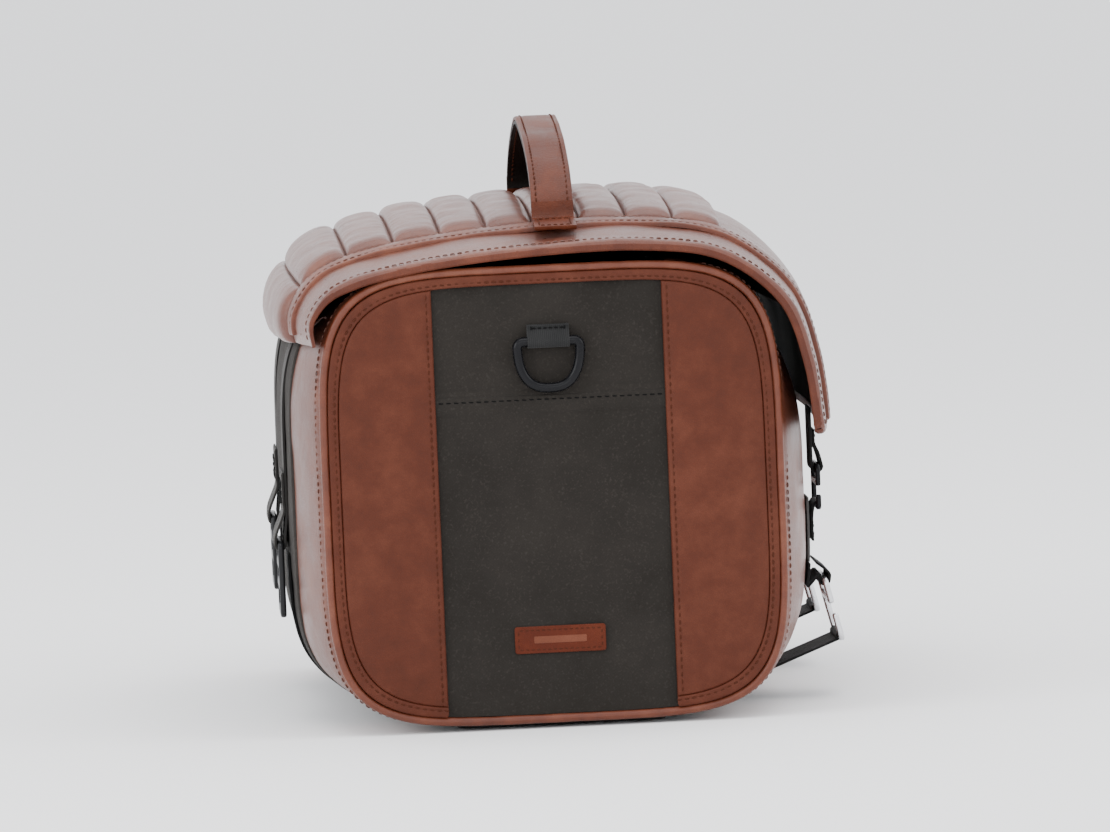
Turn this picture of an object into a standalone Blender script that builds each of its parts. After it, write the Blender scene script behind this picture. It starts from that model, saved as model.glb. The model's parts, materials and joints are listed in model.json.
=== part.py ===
"""Tail bag: a leather and canvas bag that lies across the tail of a motorcycle.

Metres. +X points to the rear, where the flap closes, +Y to the bag's right end and +Z up.
The origin is the centre of the footprint, on the surface that the bag stands on.
Left and right are the two ends, at -Y and +Y. The flap is closed.
"""

import math

import bmesh
import bpy
from mathutils import Vector

# Body
WIDTH = 0.370
DEPTH = 0.264
HEIGHT = 0.262
PAD_HEIGHT = 0.003
SQUARENESS = 5.0
CENTRE_Z = PAD_HEIGHT + HEIGHT / 2
GAP = 0.0003

# Stations round the section, counted from +X towards +Z
STATIONS = 48
MOUTH_REAR = 8
MOUTH_FRONT = 16
BASE_FRONT = 32
BASE_REAR = 40

# Walls
WALL_Y = WIDTH / 2 - 0.0075
WALL_THICKNESS = 0.003
LINING_THICKNESS = 0.0008
LINING_GAP = 0.0015
FRONT_BULGE = 0.018
REAR_BULGE = 0.019
BULGE_Z = 0.115
BULGE_REACH = 0.115
FRONT_REACH_UP = 0.140
FRONT_REACH_DOWN = 0.105
BODY_STATIONS = (-WALL_Y, -0.160, -0.130, -0.090, 0.0, 0.090, 0.130, 0.160, WALL_Y)
BASE_BOARD_THICKNESS = 0.0025
BASE_BOARD_MARGIN = 0.004

# Bound edges of the mouth: (depth into the mouth, height above the lip)
BINDING_SETBACK = 0.0022
BINDING_MARGIN = 0.001
BINDING_SECTION = ((0.0, -0.002), (0.005, -0.002), (0.0055, 0.001), (0.005, 0.004), (0.0, 0.004))

# Pads under the base, with room for the straps between them
PAD_HALF_LENGTH = 0.060
PAD_END_Y = 0.165
PAD_CLEARANCE = 0.002

# Ends, by distance inside the outline and by distance from the middle of the bag
PIPING_RADIUS = 0.0025
PIPING_Y = WIDTH / 2 - 0.0044
PANEL_INSET = 2 * PIPING_RADIUS + 0.0006
CORE_Y = (WIDTH / 2 - 0.0105, WIDTH / 2 - 0.0055)
CANVAS_Y = (CORE_Y[1] + GAP, CORE_Y[1] + 0.0015)
LEATHER_Y = (CANVAS_Y[1] + GAP, CANVAS_Y[1] + 0.0027)
BORDER_WIDTH = 0.0050
STRIPE_HALF = 0.0655
STRIPE_LAP = 0.010
HEM_Z = PAD_HEIGHT + 0.188
LABEL_SIZE = (0.052, 0.0155, 0.0013)
LABEL_Z = PAD_HEIGHT + 0.048

# D-rings
RING_WIRE = 0.0017
RING_HALF_WIDTH = 0.0183
RING_DROP = 0.0266
RING_ROUNDNESS = 2.6
RING_BAR_Z = PAD_HEIGHT + 0.2185
RING_STEPS = 14
RING_SIDES = 8
PIPING_SIDES = 6
TAB_HALF_WIDTH = 0.012
TAB_TOP = PAD_HEIGHT + 0.233
WEB_THICKNESS = 0.0014
LOOP_RADIUS = 0.0030
LIP_ANGLE = 80
RING_BAR_Y = CANVAS_Y[1] + GAP + WEB_THICKNESS / 2 + LOOP_RADIUS

# Flap: (x, z) of its outer face at the ends of the bag, from the hinge to the free edge
FLAP_LINE = (
    (-0.1345, 0.2235),
    (-0.1350, 0.2400),
    (-0.1180, 0.2580),
    (-0.0750, 0.2690),
    (-0.0100, 0.2755),
    (0.0550, 0.2765),
    (0.1020, 0.2685),
    (0.1370, 0.2410),
    (0.1510, 0.2030),
    (0.1560, 0.1610),
)
FLAP_STEPS = 24
FLAP_HALF_WIDTH = WIDTH / 2 - 0.0005
FLAP_CROWN = 0.014
CROWN_FALL = 0.25
CROWN_FALL_START = 0.62
RIB_LAST = 16
RIB_HALF_WIDTH = 0.124
STRIP_WIDTH = 0.018
RIB_HEIGHT = 0.0065
STRIP_THICKNESS = 0.0018
END_SHARE = 0.03
FLAP_LEATHER = 0.0020
STIFFENER = 0.0016
FLAP_LINING = 0.0008
LAYER_GAP = 0.0006
STIFFENER_FIRST = 5
STIFFENER_MARGIN = 0.004
FLAP_LINING_MARGIN = 0.001
RIB_SIDE_GAP = 0.0011
RIB_END_RUN = 0.012
RIB_EDGE_HEIGHT = 0.0004
FLAP_STATIONS = (-0.142, -0.124, -0.068, 0.0, 0.068, 0.124, 0.142)
HINGE = Vector((-0.1495, 0.0, 0.2235))

# Handle
HANDLE_X = 0.008
HANDLE_WIDTH = 0.024
HANDLE_REACH = 0.133
HANDLE_TOP = 0.341
HANDLE_THICKNESS = 0.0046
HANDLE_STEPS = 18
HANDLE_CLEARANCE = 0.0090
HANDLE_ROUNDNESS = 1.7
HANDLE_EDGE = 0.0012
HANDLE_END_THICKNESS = 0.0030
HANDLE_END_SEWN_Y = (0.166, 0.156, 0.146)
HANDLE_END_TURN = (0.0008, -0.0042)
HANDLE_END_RISE = 0.0065

# Webbing straps, two of them, at these distances either side of the middle
STRAP_Y = 0.080
STRAP_HALF = 0.019
CLOSURE_HALF = 0.0125
STRAP_INNER_Y = STRAP_Y - STRAP_HALF

# Hardware: height, bar and opening sizes
BUCKLE_BAR = (-0.1552, 0.104)
BUCKLE_SIZE = (0.046, 0.044, 0.0035)
HOOK_BAR = (0.1593, 0.0690)
HOOK_SIZE = (0.046, 0.0390, 0.0035)
HOOK_LEAN = math.radians(14)
CATCH_BAR = (0.1580, 0.1345)
CATCH_SIZE = (0.033, 0.027, 0.0030)
BAR = 0.0035
HARDWARE_EDGE = 0.0007

# Cells of each frame across (0 to 2) and down, and those left open: (column, row)
BUCKLE_ROWS = (0.0, BAR, 0.0115, 0.0165, 0.0235, 0.0285, BUCKLE_SIZE[1] - 0.005, BUCKLE_SIZE[1])
BUCKLE_OPEN = {(1, 1), (1, 3), (1, 5)}
HOOK_ROWS = (0.0, BAR, 0.0125, 0.0160, 0.0220, HOOK_SIZE[1] - BAR, HOOK_SIZE[1])
CATCH_ROWS = (0.0, BAR, 0.0095, 0.0130, 0.0180, CATCH_SIZE[1] - BAR, CATCH_SIZE[1])
HOOK_OPEN = {(1, 1), (1, 3), (1, 4), (2, 3)}

# Webbing: where each strap begins and ends
FRONT_STRAP_STATIONS = (19, 25)
UNDER_STRAP_STATIONS = (26, 41)
REAR_WEBBING_STATIONS = (-3, -1)
REAR_TAB_STATIONS = (-4, -3)
CLOSURE_TOP_Z = 0.169
CLOSURE_END_Z = 0.156
CATCH_STRAP_LENGTH = 0.020

LEATHER = ("brown_leather", (0.18, 0.055, 0.022), 0.38, 0.0)
CANVAS = ("charcoal_canvas", (0.042, 0.038, 0.035), 0.9, 0.0)
WEBBING = ("black_webbing", (0.018, 0.019, 0.017), 0.8, 0.0)
GREY_WEBBING = ("grey_webbing", (0.16, 0.16, 0.15), 0.85, 0.0)
LINING = ("black_lining", (0.012, 0.012, 0.012), 0.85, 0.0)
BOARD = ("stiffener_board", (0.03, 0.03, 0.03), 0.7, 0.0)
RUBBER = ("black_rubber", (0.015, 0.015, 0.015), 0.75, 0.0)
ALUMINIUM = ("satin_aluminium", (0.72, 0.73, 0.75), 0.28, 1.0)
BLACK_METAL = ("black_metal", (0.02, 0.02, 0.022), 0.25, 1.0)
BLACK_PLASTIC = ("black_plastic", (0.02, 0.02, 0.02), 0.45, 0.0)


def clear_scene():
    for old in list(bpy.data.objects):
        bpy.data.objects.remove(old, do_unlink=True)


def material(spec):
    name, colour, roughness, metallic = spec
    found = bpy.data.materials.get(name)
    if found:
        return found
    made = bpy.data.materials.new(name)
    made.use_nodes = True
    shader = made.node_tree.nodes["Principled BSDF"]
    shader.inputs["Base Color"].default_value = (*colour, 1.0)
    shader.inputs["Roughness"].default_value = roughness
    shader.inputs["Metallic"].default_value = metallic
    return made


def world_point(pivot):
    point = Vector((0.0, 0.0, 0.0))
    while pivot:
        point += pivot.location
        pivot = pivot.parent
    return point


def add_pivot(name, point, parent=None):
    """An empty on a joint's axis, which carries the pieces that the joint moves."""
    pivot = bpy.data.objects.new(name, None)
    pivot.parent = parent
    pivot.location = Vector(point) - world_point(parent)
    bpy.context.scene.collection.objects.link(pivot)
    return pivot


def add_object(name, mesh, spec, pivot=None, bevel=0.0):
    data = bpy.data.meshes.new(name)
    mesh.to_mesh(data)
    mesh.free()
    data.materials.append(material(spec))
    made = bpy.data.objects.new(name, data)
    made.parent = pivot
    made.location = -world_point(pivot)
    bpy.context.scene.collection.objects.link(made)
    if bevel:
        rounding = made.modifiers.new("Rounded edges", "BEVEL")
        rounding.width = bevel
        rounding.segments = 1
        rounding.limit_method = "ANGLE"
        rounding.angle_limit = math.radians(40)
    return made


def skin(rings, closed=False):
    """A closed solid through rings of points, capped at both ends or joined into a loop."""
    mesh = bmesh.new()
    loops = [[mesh.verts.new(point) for point in ring] for ring in rings]
    pairs = list(zip(loops, loops[1:]))
    if closed:
        pairs.append((loops[-1], loops[0]))
    else:
        mesh.faces.new(loops[0])
        mesh.faces.new(loops[-1])
    for one, other in pairs:
        for k, point in enumerate(one):
            after = (k + 1) % len(one)
            mesh.faces.new((point, one[after], other[after], other[k]))
    bmesh.ops.recalc_face_normals(mesh, faces=mesh.faces)
    return mesh


def across_y(section, stations):
    """A solid whose section at each y is a polygon of (x, z) points."""
    return skin([[(x, y, z) for x, z in section(y)] for y in stations])


def between(section, first, last):
    """A solid of one section between two values of y."""
    return across_y(lambda y: section, (first, last))


def angle_at(station):
    return 2 * math.pi * station / STATIONS


def outline(angle, inset=0.0):
    """(x, z) on the rounded square section of the bag, some way inside its outer face."""
    half_x = DEPTH / 2 - inset
    half_z = HEIGHT / 2 - inset
    across = abs(math.cos(angle) / half_x) ** SQUARENESS
    up = abs(math.sin(angle) / half_z) ** SQUARENESS
    reach = (across + up) ** (-1 / SQUARENESS)
    return reach * math.cos(angle), CENTRE_Z + reach * math.sin(angle)


def bulge(x, y, z):
    """How far the front or rear wall stands out of the flat section."""
    rise = z - BULGE_Z
    if x < 0:
        reach = FRONT_REACH_UP if rise > 0 else FRONT_REACH_DOWN
        most = FRONT_BULGE * max(0.0, 1 - (rise / reach) ** 6) ** 1.5
    else:
        most = REAR_BULGE * max(0.0, 1 - (rise / BULGE_REACH) ** 4) ** 2
    return math.copysign(most * (1 - (y / WALL_Y) ** 4), x)


def wall_point(station, inset, y):
    x, z = outline(angle_at(station), inset)
    return x + bulge(x, y, z), z


def wall_section(first, last, outer, inner, y):
    stations = range(first, last + 1)
    face = [wall_point(station, outer, y) for station in stations]
    back = [wall_point(station, inner, y) for station in reversed(stations)]
    return face + back


def clipped(points, axis, limit, keep_above):
    """The part of a convex polygon on one side of a line across x (axis 0) or z (axis 1)."""
    kept = []
    for k, point in enumerate(points):
        before = points[k - 1]
        inside = (point[axis] >= limit) == keep_above
        was_inside = (before[axis] >= limit) == keep_above
        if inside != was_inside:
            part = (limit - before[axis]) / (point[axis] - before[axis])
            kept.append(tuple(b + part * (p - b) for b, p in zip(before, point)))
        if inside:
            kept.append(point)
    return kept


def band(path, thickness):
    """The outline of a strip of webbing or leather whose middle follows a path."""
    left = []
    right = []
    for k, point in enumerate(path):
        before = Vector(path[max(k - 1, 0)])
        after = Vector(path[min(k + 1, len(path) - 1)])
        along = (after - before).normalized()
        across = Vector((-along.y, along.x)) * thickness / 2
        left.append(tuple(Vector(point) + across))
        right.append(tuple(Vector(point) - across))
    return left + right[::-1]


def arc(centre, radius, start, end, steps=8):
    """Points on an arc, with its angles in degrees."""
    angles = [math.radians(start + (end - start) * k / steps) for k in range(steps + 1)]
    return [(centre[0] + radius * math.cos(a), centre[1] + radius * math.sin(a)) for a in angles]


def on_curve(points, share):
    """A point some share of the way along a Catmull-Rom curve, from 0 to 1."""
    padded = [points[0], *points, points[-1]]
    spans = len(points) - 1
    along = min(max(share, 0.0), 1.0) * spans
    span = min(int(along), spans - 1)
    t = along - span
    p0, p1, p2, p3 = (Vector(point) for point in padded[span:span + 4])
    square = (2 * p0 - 5 * p1 + 4 * p2 - p3) * t**2
    cube = (3 * p1 - 3 * p2 + p3 - p0) * t**3
    return 0.5 * (2 * p1 + (p2 - p0) * t + square + cube)


def tube(path, radius, y, sides):
    """A closed ring of round wire or piping, whose middle is a loop of (x, z) points at one y."""
    rings = []
    for k, point in enumerate(path):
        along = (Vector(path[(k + 1) % len(path)]) - Vector(path[k - 1])).normalized()
        out = Vector((along.y, -along.x))
        ring = []
        for side in range(sides):
            turn = 2 * math.pi * side / sides
            shift = out * radius * math.cos(turn)
            ring.append((point[0] + shift.x, y + radius * math.sin(turn), point[1] + shift.y))
        rings.append(ring)
    return skin(rings, closed=True)


def lattice(breaks_u, breaks_v, missing, thickness, place):
    """A flat plate made of cells, some of them left out, placed by a function of (u, v, w)."""
    mesh = bmesh.new()
    verts = {}

    def corner(i, j, side):
        key = (i, j, side)
        if key not in verts:
            verts[key] = mesh.verts.new(place(breaks_u[i], breaks_v[j], side * thickness / 2))
        return verts[key]

    def is_filled(i, j):
        inside = 0 <= i < len(breaks_u) - 1 and 0 <= j < len(breaks_v) - 1
        return inside and (i, j) not in missing

    for i in range(len(breaks_u) - 1):
        for j in range(len(breaks_v) - 1):
            if not is_filled(i, j):
                continue
            loop = ((i, j), (i + 1, j), (i + 1, j + 1), (i, j + 1))
            for side in (-1, 1):
                mesh.faces.new([corner(*point, side) for point in loop])
            neighbours = ((i, j - 1), (i + 1, j), (i, j + 1), (i - 1, j))
            for k, neighbour in enumerate(neighbours):
                if not is_filled(*neighbour):
                    start = loop[k]
                    end = loop[(k + 1) % 4]
                    mesh.faces.new((corner(*start, -1), corner(*end, -1), corner(*end, 1), corner(*start, 1)))
    bmesh.ops.recalc_face_normals(mesh, faces=mesh.faces)
    return mesh


# ---------------------------------------------------------------- body


def make_walls():
    for name, first, last, spec in (
        ("rear_wall", BASE_REAR - STATIONS, MOUTH_REAR, LEATHER),
        ("front_wall", MOUTH_FRONT, BASE_FRONT, LEATHER),
    ):
        mesh = across_y(lambda y: wall_section(first, last, 0.0, WALL_THICKNESS, y), BODY_STATIONS)
        add_object(name, mesh, spec)
    section = between(base_section(0.0, WALL_THICKNESS), -WALL_Y, WALL_Y)
    add_object("base_panel", section, RUBBER)


def base_section(outer, inner):
    """Section of a piece that lies along the base, just clear of the walls either side."""
    points = wall_section(BASE_FRONT, BASE_REAR, outer, inner, 0.0)
    limit = abs(outline(angle_at(BASE_REAR), inner)[0]) - GAP
    for keep_above, side in ((True, -limit), (False, limit)):
        points = clipped(points, 0, side, keep_above)
    return points


def make_lining():
    outer = WALL_THICKNESS + LINING_GAP
    inner = outer + LINING_THICKNESS
    end = CORE_Y[0] - GAP
    stations = (-end, *BODY_STATIONS[1:-1], end)
    first = MOUTH_FRONT
    last = MOUTH_REAR + STATIONS
    mesh = across_y(lambda y: wall_section(first, last, outer, inner, y), stations)
    add_object("lining", mesh, LINING)
    board = wall_section(BASE_FRONT + 2, BASE_REAR - 2, inner + GAP, inner + BASE_BOARD_THICKNESS, 0.0)
    add_object("base_board", between(board, -end + BASE_BOARD_MARGIN, end - BASE_BOARD_MARGIN), BOARD)


def make_mouth_bindings():
    """The bound edges of the mouth, a folded tape along the lip of each wall."""
    for name, station in (("mouth_binding_front", MOUTH_FRONT), ("mouth_binding_rear", MOUTH_REAR)):
        x, z = outline(angle_at(station), WALL_THICKNESS + LINING_THICKNESS)
        inward = -math.copysign(1.0, x)
        start = x + inward * BINDING_SETBACK
        section = [(start + inward * depth, z + rise) for depth, rise in BINDING_SECTION]
        end = CORE_Y[0] - BINDING_MARGIN
        add_object(name, between(section, -end, end), LINING)


def make_base_pads():
    groove = STRAP_HALF + PAD_CLEARANCE
    edges = (-PAD_END_Y, -STRAP_Y - groove, -STRAP_Y + groove, STRAP_Y - groove, STRAP_Y + groove, PAD_END_Y)
    top = PAD_HEIGHT - GAP
    section = [(-PAD_HALF_LENGTH, 0.0), (PAD_HALF_LENGTH, 0.0), (PAD_HALF_LENGTH, top), (-PAD_HALF_LENGTH, top)]
    for k, name in enumerate(("base_pad_left", "base_pad_middle", "base_pad_right")):
        add_object(name, between(section, edges[2 * k], edges[2 * k + 1]), RUBBER)


# ---------------------------------------------------------------- ends


def panel_outline(inset):
    return [outline(angle_at(station), inset) for station in range(STATIONS)]


def end_plate(name, points, depth, side, spec):
    first, last = sorted((side * depth[0], side * depth[1]))
    add_object(name, between(points, first, last), spec)


def make_end(word, side):
    end_plate(f"end_core_{word}", panel_outline(PANEL_INSET), CORE_Y, side, BOARD)
    stripe = panel_outline(PANEL_INSET)
    reach = STRIPE_HALF + STRIPE_LAP
    stripe = clipped(clipped(stripe, 0, -reach, True), 0, reach, False)
    end_plate(f"canvas_lower_{word}", clipped(stripe, 1, HEM_Z, False), CANVAS_Y, side, CANVAS)
    end_plate(f"canvas_upper_{word}", clipped(stripe, 1, HEM_Z + GAP, True), CANVAS_Y, side, CANVAS)
    panel = panel_outline(PANEL_INSET + BORDER_WIDTH + GAP)
    front = clipped(panel, 0, -STRIPE_HALF, False)
    rear = clipped(panel, 0, STRIPE_HALF, True)
    end_plate(f"leather_front_{word}", front, LEATHER_Y, side, LEATHER)
    end_plate(f"leather_rear_{word}", rear, LEATHER_Y, side, LEATHER)
    make_border(word, side)
    piping = tube(panel_outline(PIPING_RADIUS), PIPING_RADIUS, side * PIPING_Y, PIPING_SIDES)
    add_object(f"piping_{word}", piping, LEATHER)
    make_ring(word, side)


def make_border(word, side):
    """The leather band inside the piping, sewn all round the end."""
    rings = []
    for station in range(STATIONS):
        outer = outline(angle_at(station), PANEL_INSET)
        inner = outline(angle_at(station), PANEL_INSET + BORDER_WIDTH)
        low, high = (side * depth for depth in LEATHER_Y)
        rings.append([
            (outer[0], low, outer[1]),
            (outer[0], high, outer[1]),
            (inner[0], high, inner[1]),
            (inner[0], low, inner[1]),
        ])
    add_object(f"end_border_{word}", skin(rings, closed=True), LEATHER)


def make_label():
    """A plain leather patch on the canvas of the left end."""
    half = LABEL_SIZE[0] / 2
    rise = LABEL_SIZE[1] / 2
    section = [(-half, LABEL_Z - rise), (half, LABEL_Z - rise), (half, LABEL_Z + rise), (-half, LABEL_Z + rise)]
    depth = (CANVAS_Y[1] + GAP, CANVAS_Y[1] + GAP + LABEL_SIZE[2])
    end_plate("label_left", section, depth, -1, LEATHER)


def make_ring(word, side):
    """A D-ring that hangs from its straight bar in a loop of webbing."""
    bar_y = side * RING_BAR_Y
    pivot = add_pivot(f"d_ring_{word}_pivot", (0.0, bar_y, RING_BAR_Z))
    path = []
    for k in range(RING_STEPS + 1):
        turn = math.pi * k / RING_STEPS
        x = math.copysign(abs(math.cos(turn)) ** (2 / RING_ROUNDNESS), math.cos(turn))
        drop = abs(math.sin(turn)) ** (2 / RING_ROUNDNESS)
        path.append((RING_HALF_WIDTH * x, RING_BAR_Z - RING_DROP * drop))
    path += [(-0.6 * RING_HALF_WIDTH, RING_BAR_Z), (0.6 * RING_HALF_WIDTH, RING_BAR_Z)]
    add_object(f"d_ring_{word}", tube(path, RING_WIRE, bar_y, RING_SIDES), BLACK_METAL, pivot)

    against = RING_BAR_Y - LOOP_RADIUS
    over = against + WEB_THICKNESS + GAP
    line = [(against, TAB_TOP), (against, RING_BAR_Z + 0.003)]
    line += arc((RING_BAR_Y, RING_BAR_Z), LOOP_RADIUS, 180, 360)
    line += [(over + 0.0024, RING_BAR_Z + 0.003), (over, RING_BAR_Z + 0.0065), (over, TAB_TOP)]
    outer = band(line, WEB_THICKNESS)
    rings = [[(x, side * y, z) for y, z in outer] for x in (-TAB_HALF_WIDTH, TAB_HALF_WIDTH)]
    add_object(f"d_ring_tab_{word}", skin(rings), WEBBING)


# ---------------------------------------------------------------- flap


def flap_crown(step, y):
    """How far the flap rises above its side edges."""
    beyond = max(0.0, step / FLAP_STEPS - CROWN_FALL_START)
    fall = 1 - CROWN_FALL * (beyond / (1 - CROWN_FALL_START))
    return FLAP_CROWN * fall * (1 - (y / FLAP_HALF_WIDTH) ** 2)


def flap_point(step, depth, y):
    """(x, z) some depth under the outer face of the flap, a number of steps from its hinge."""
    share = step / FLAP_STEPS
    half_step = 0.5 / FLAP_STEPS
    along = on_curve(FLAP_LINE, share + half_step) - on_curve(FLAP_LINE, share - half_step)
    out = Vector((-along.y, along.x)).normalized()
    return tuple(on_curve(FLAP_LINE, share) + out * (flap_crown(step, y) - depth))


def flap_section(steps, outer, inner, y):
    face = [flap_point(step, outer, y) for step in steps]
    return face + [flap_point(step, inner, y) for step in reversed(steps)]


def add_flap_layer(name, steps, outer, inner, from_y, to_y, spec, pivot):
    inside = [y for y in FLAP_STATIONS if from_y + 0.001 < y < to_y - 0.001]
    stations = [from_y, *inside, to_y]
    mesh = across_y(lambda y: flap_section(steps, outer, inner, y), stations)
    add_object(name, mesh, spec, pivot)


def make_flap(pivot):
    edge = FLAP_HALF_WIDTH
    rib = RIB_HALF_WIDTH
    strip = rib + STRIP_WIDTH
    whole = range(FLAP_STEPS + 1)
    rear = (RIB_LAST + END_SHARE, *whole[RIB_LAST + 1:])
    middle = FLAP_LEATHER + LAYER_GAP
    lining = middle + STIFFENER + LAYER_GAP
    add_flap_layer("flap_border_left", whole, 0.0, FLAP_LEATHER, -edge, -rib - GAP, LEATHER, pivot)
    add_flap_layer("flap_border_right", whole, 0.0, FLAP_LEATHER, rib + GAP, edge, LEATHER, pivot)
    add_flap_layer("flap_rear_panel", rear, 0.0, FLAP_LEATHER, -rib, rib, LEATHER, pivot)
    add_rib_panel(pivot)
    for word, side in (("left", -1), ("right", 1)):
        low, high = sorted((side * (rib - 0.0005), side * strip))
        outer = -LAYER_GAP - STRIP_THICKNESS
        add_flap_layer(f"seam_strip_{word}", whole[1:-1], outer, -LAYER_GAP, low, high, LEATHER, pivot)
    add_flap_layer(
        "flap_stiffener", whole[STIFFENER_FIRST:-1], middle, middle + STIFFENER,
        -edge + STIFFENER_MARGIN, edge - STIFFENER_MARGIN, BOARD, pivot,
    )
    add_flap_layer(
        "flap_lining", whole[1:], lining, lining + FLAP_LINING,
        -edge + FLAP_LINING_MARGIN, edge - FLAP_LINING_MARGIN, LINING, pivot,
    )


def add_rib_panel(pivot):
    """The padded panel over the top of the flap, from its hinge to where its rear part hangs."""
    rib = RIB_HALF_WIDTH - RIB_SIDE_GAP
    inside = [y for y in FLAP_STATIONS if abs(y) < rib - 0.001]
    stations = [-rib, -rib + RIB_END_RUN, *inside, rib - RIB_END_RUN, rib]
    steps = (*range(RIB_LAST), RIB_LAST - END_SHARE)

    def section(y):
        is_edge = abs(y) == rib
        face = []
        for step in steps:
            thin = is_edge or step in (steps[0], steps[-1])
            face.append(flap_point(step, -RIB_EDGE_HEIGHT if thin else -RIB_HEIGHT, y))
        return face + [flap_point(step, FLAP_LEATHER, y) for step in reversed(steps)]

    add_object("flap_rib_panel", across_y(section, stations), LEATHER, pivot)


# ---------------------------------------------------------------- handle


def top_height(y):
    """Height of the flap's face under the handle."""
    step = min(range(FLAP_STEPS), key=lambda k: abs(flap_point(k, 0.0, y)[0] - HANDLE_X))
    return flap_point(step, 0.0, y)[1]


def make_handle(flap_pivot):
    foot = top_height(HANDLE_REACH) + HANDLE_CLEARANCE
    pivot = add_pivot("handle_pivot", (HANDLE_X, 0.0, foot), flap_pivot)
    middle_top = HANDLE_TOP - HANDLE_THICKNESS / 2
    path = []
    for k in range(HANDLE_STEPS + 1):
        share = 2 * k / HANDLE_STEPS - 1
        rise = (1 - abs(share) ** HANDLE_ROUNDNESS) ** (1 / HANDLE_ROUNDNESS)
        path.append((HANDLE_REACH * share, foot + (middle_top - foot) * rise))
    half = HANDLE_WIDTH / 2
    section = band(path, HANDLE_THICKNESS)
    rings = [[(x, y, z) for y, z in section] for x in (HANDLE_X - half, HANDLE_X + half)]
    add_object("handle_strap", skin(rings), LEATHER, pivot, bevel=HANDLE_EDGE)
    for word, side in (("left", -1), ("right", 1)):
        add_handle_end(word, side, flap_pivot, foot)


def add_handle_end(word, side, flap_pivot, foot):
    """The end of the handle, sewn down on the seam strip and turned up beside the handle."""
    thickness = HANDLE_END_THICKNESS
    lift = STRIP_THICKNESS + 2 * LAYER_GAP + thickness / 2 + 2 * GAP
    sewn = [(y, top_height(y) + lift) for y in HANDLE_END_SEWN_Y]
    outside = HANDLE_REACH + HANDLE_THICKNESS / 2 + 2 * GAP + thickness / 2
    turn = (outside + HANDLE_END_TURN[0], foot + HANDLE_END_TURN[1])
    path = [*sewn, turn, (outside, foot + HANDLE_END_RISE)]
    section = band(path, thickness)
    half = HANDLE_WIDTH / 2
    rings = [[(x, side * y, z) for y, z in section] for x in (HANDLE_X - half, HANDLE_X + half)]
    add_object(f"handle_end_{word}", skin(rings), LEATHER, flap_pivot)


# ---------------------------------------------------------------- straps and hardware


def strap_face(first, last, inset):
    """Points along the outside of the bag for a flat strap, at its more bulged edge."""
    return [wall_point(station, inset, STRAP_INNER_Y) for station in range(first, last + 1)]


def frame_hardware(name, bar, size, breaks_v, missing, side, spec, pivot, lean=0.0):
    """A flat metal or plastic frame that hangs from its top bar, leaning outwards at its lower end."""
    half = size[0] / 2
    breaks_u = (-half, -half + BAR, half - BAR, half)

    def place(u, v, w):
        down = v - BAR / 2
        x = bar[0] + w * math.cos(lean) + down * math.sin(lean)
        return (x, side * (STRAP_Y + u), bar[1] + w * math.sin(lean) - down * math.cos(lean))

    mesh = lattice(breaks_u, breaks_v, missing, size[2], place)
    add_object(name, mesh, spec, pivot, bevel=HARDWARE_EDGE)


def make_front_strap(word, side):
    half = STRAP_HALF
    low, high = sorted((side * (STRAP_Y - half), side * (STRAP_Y + half)))
    middle = -GAP - WEB_THICKNESS / 2
    bar_x, bar_z = BUCKLE_BAR
    wall = strap_face(*FRONT_STRAP_STATIONS, middle)
    loop = arc((bar_x, bar_z), LOOP_RADIUS, 0, -180)
    back = [(bar_x - LOOP_RADIUS + 0.0008, bar_z + 0.006), (wall[-3][0] - 0.0022, wall[-3][1])]
    line = wall + [(bar_x + LOOP_RADIUS, bar_z + 0.004)] + loop + back
    add_object(f"front_strap_{word}", between(band(line, WEB_THICKNESS), low, high), WEBBING)

    pivot = add_pivot(f"front_buckle_{word}_pivot", (bar_x, side * STRAP_Y, bar_z))
    frame_hardware(
        f"front_buckle_{word}", BUCKLE_BAR, BUCKLE_SIZE, BUCKLE_ROWS, BUCKLE_OPEN, side, BLACK_PLASTIC, pivot,
    )


def make_under_strap(word, side):
    """Webbing from behind the front buckle, round the base and up to the rear hook."""
    low, high = sorted((side * (STRAP_Y - STRAP_HALF), side * (STRAP_Y + STRAP_HALF)))
    middle = -GAP - WEB_THICKNESS / 2
    drop = HOOK_SIZE[1] - BAR
    bar_x = HOOK_BAR[0] + drop * math.sin(HOOK_LEAN)
    bar_z = HOOK_BAR[1] - drop * math.cos(HOOK_LEAN)
    lip = math.degrees(HOOK_LEAN) + LIP_ANGLE
    line = strap_face(*UNDER_STRAP_STATIONS, middle) + arc((bar_x, bar_z), LOOP_RADIUS, 200, lip)
    add_object(f"under_strap_{word}", between(band(line, WEB_THICKNESS), low, high), WEBBING)


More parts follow.
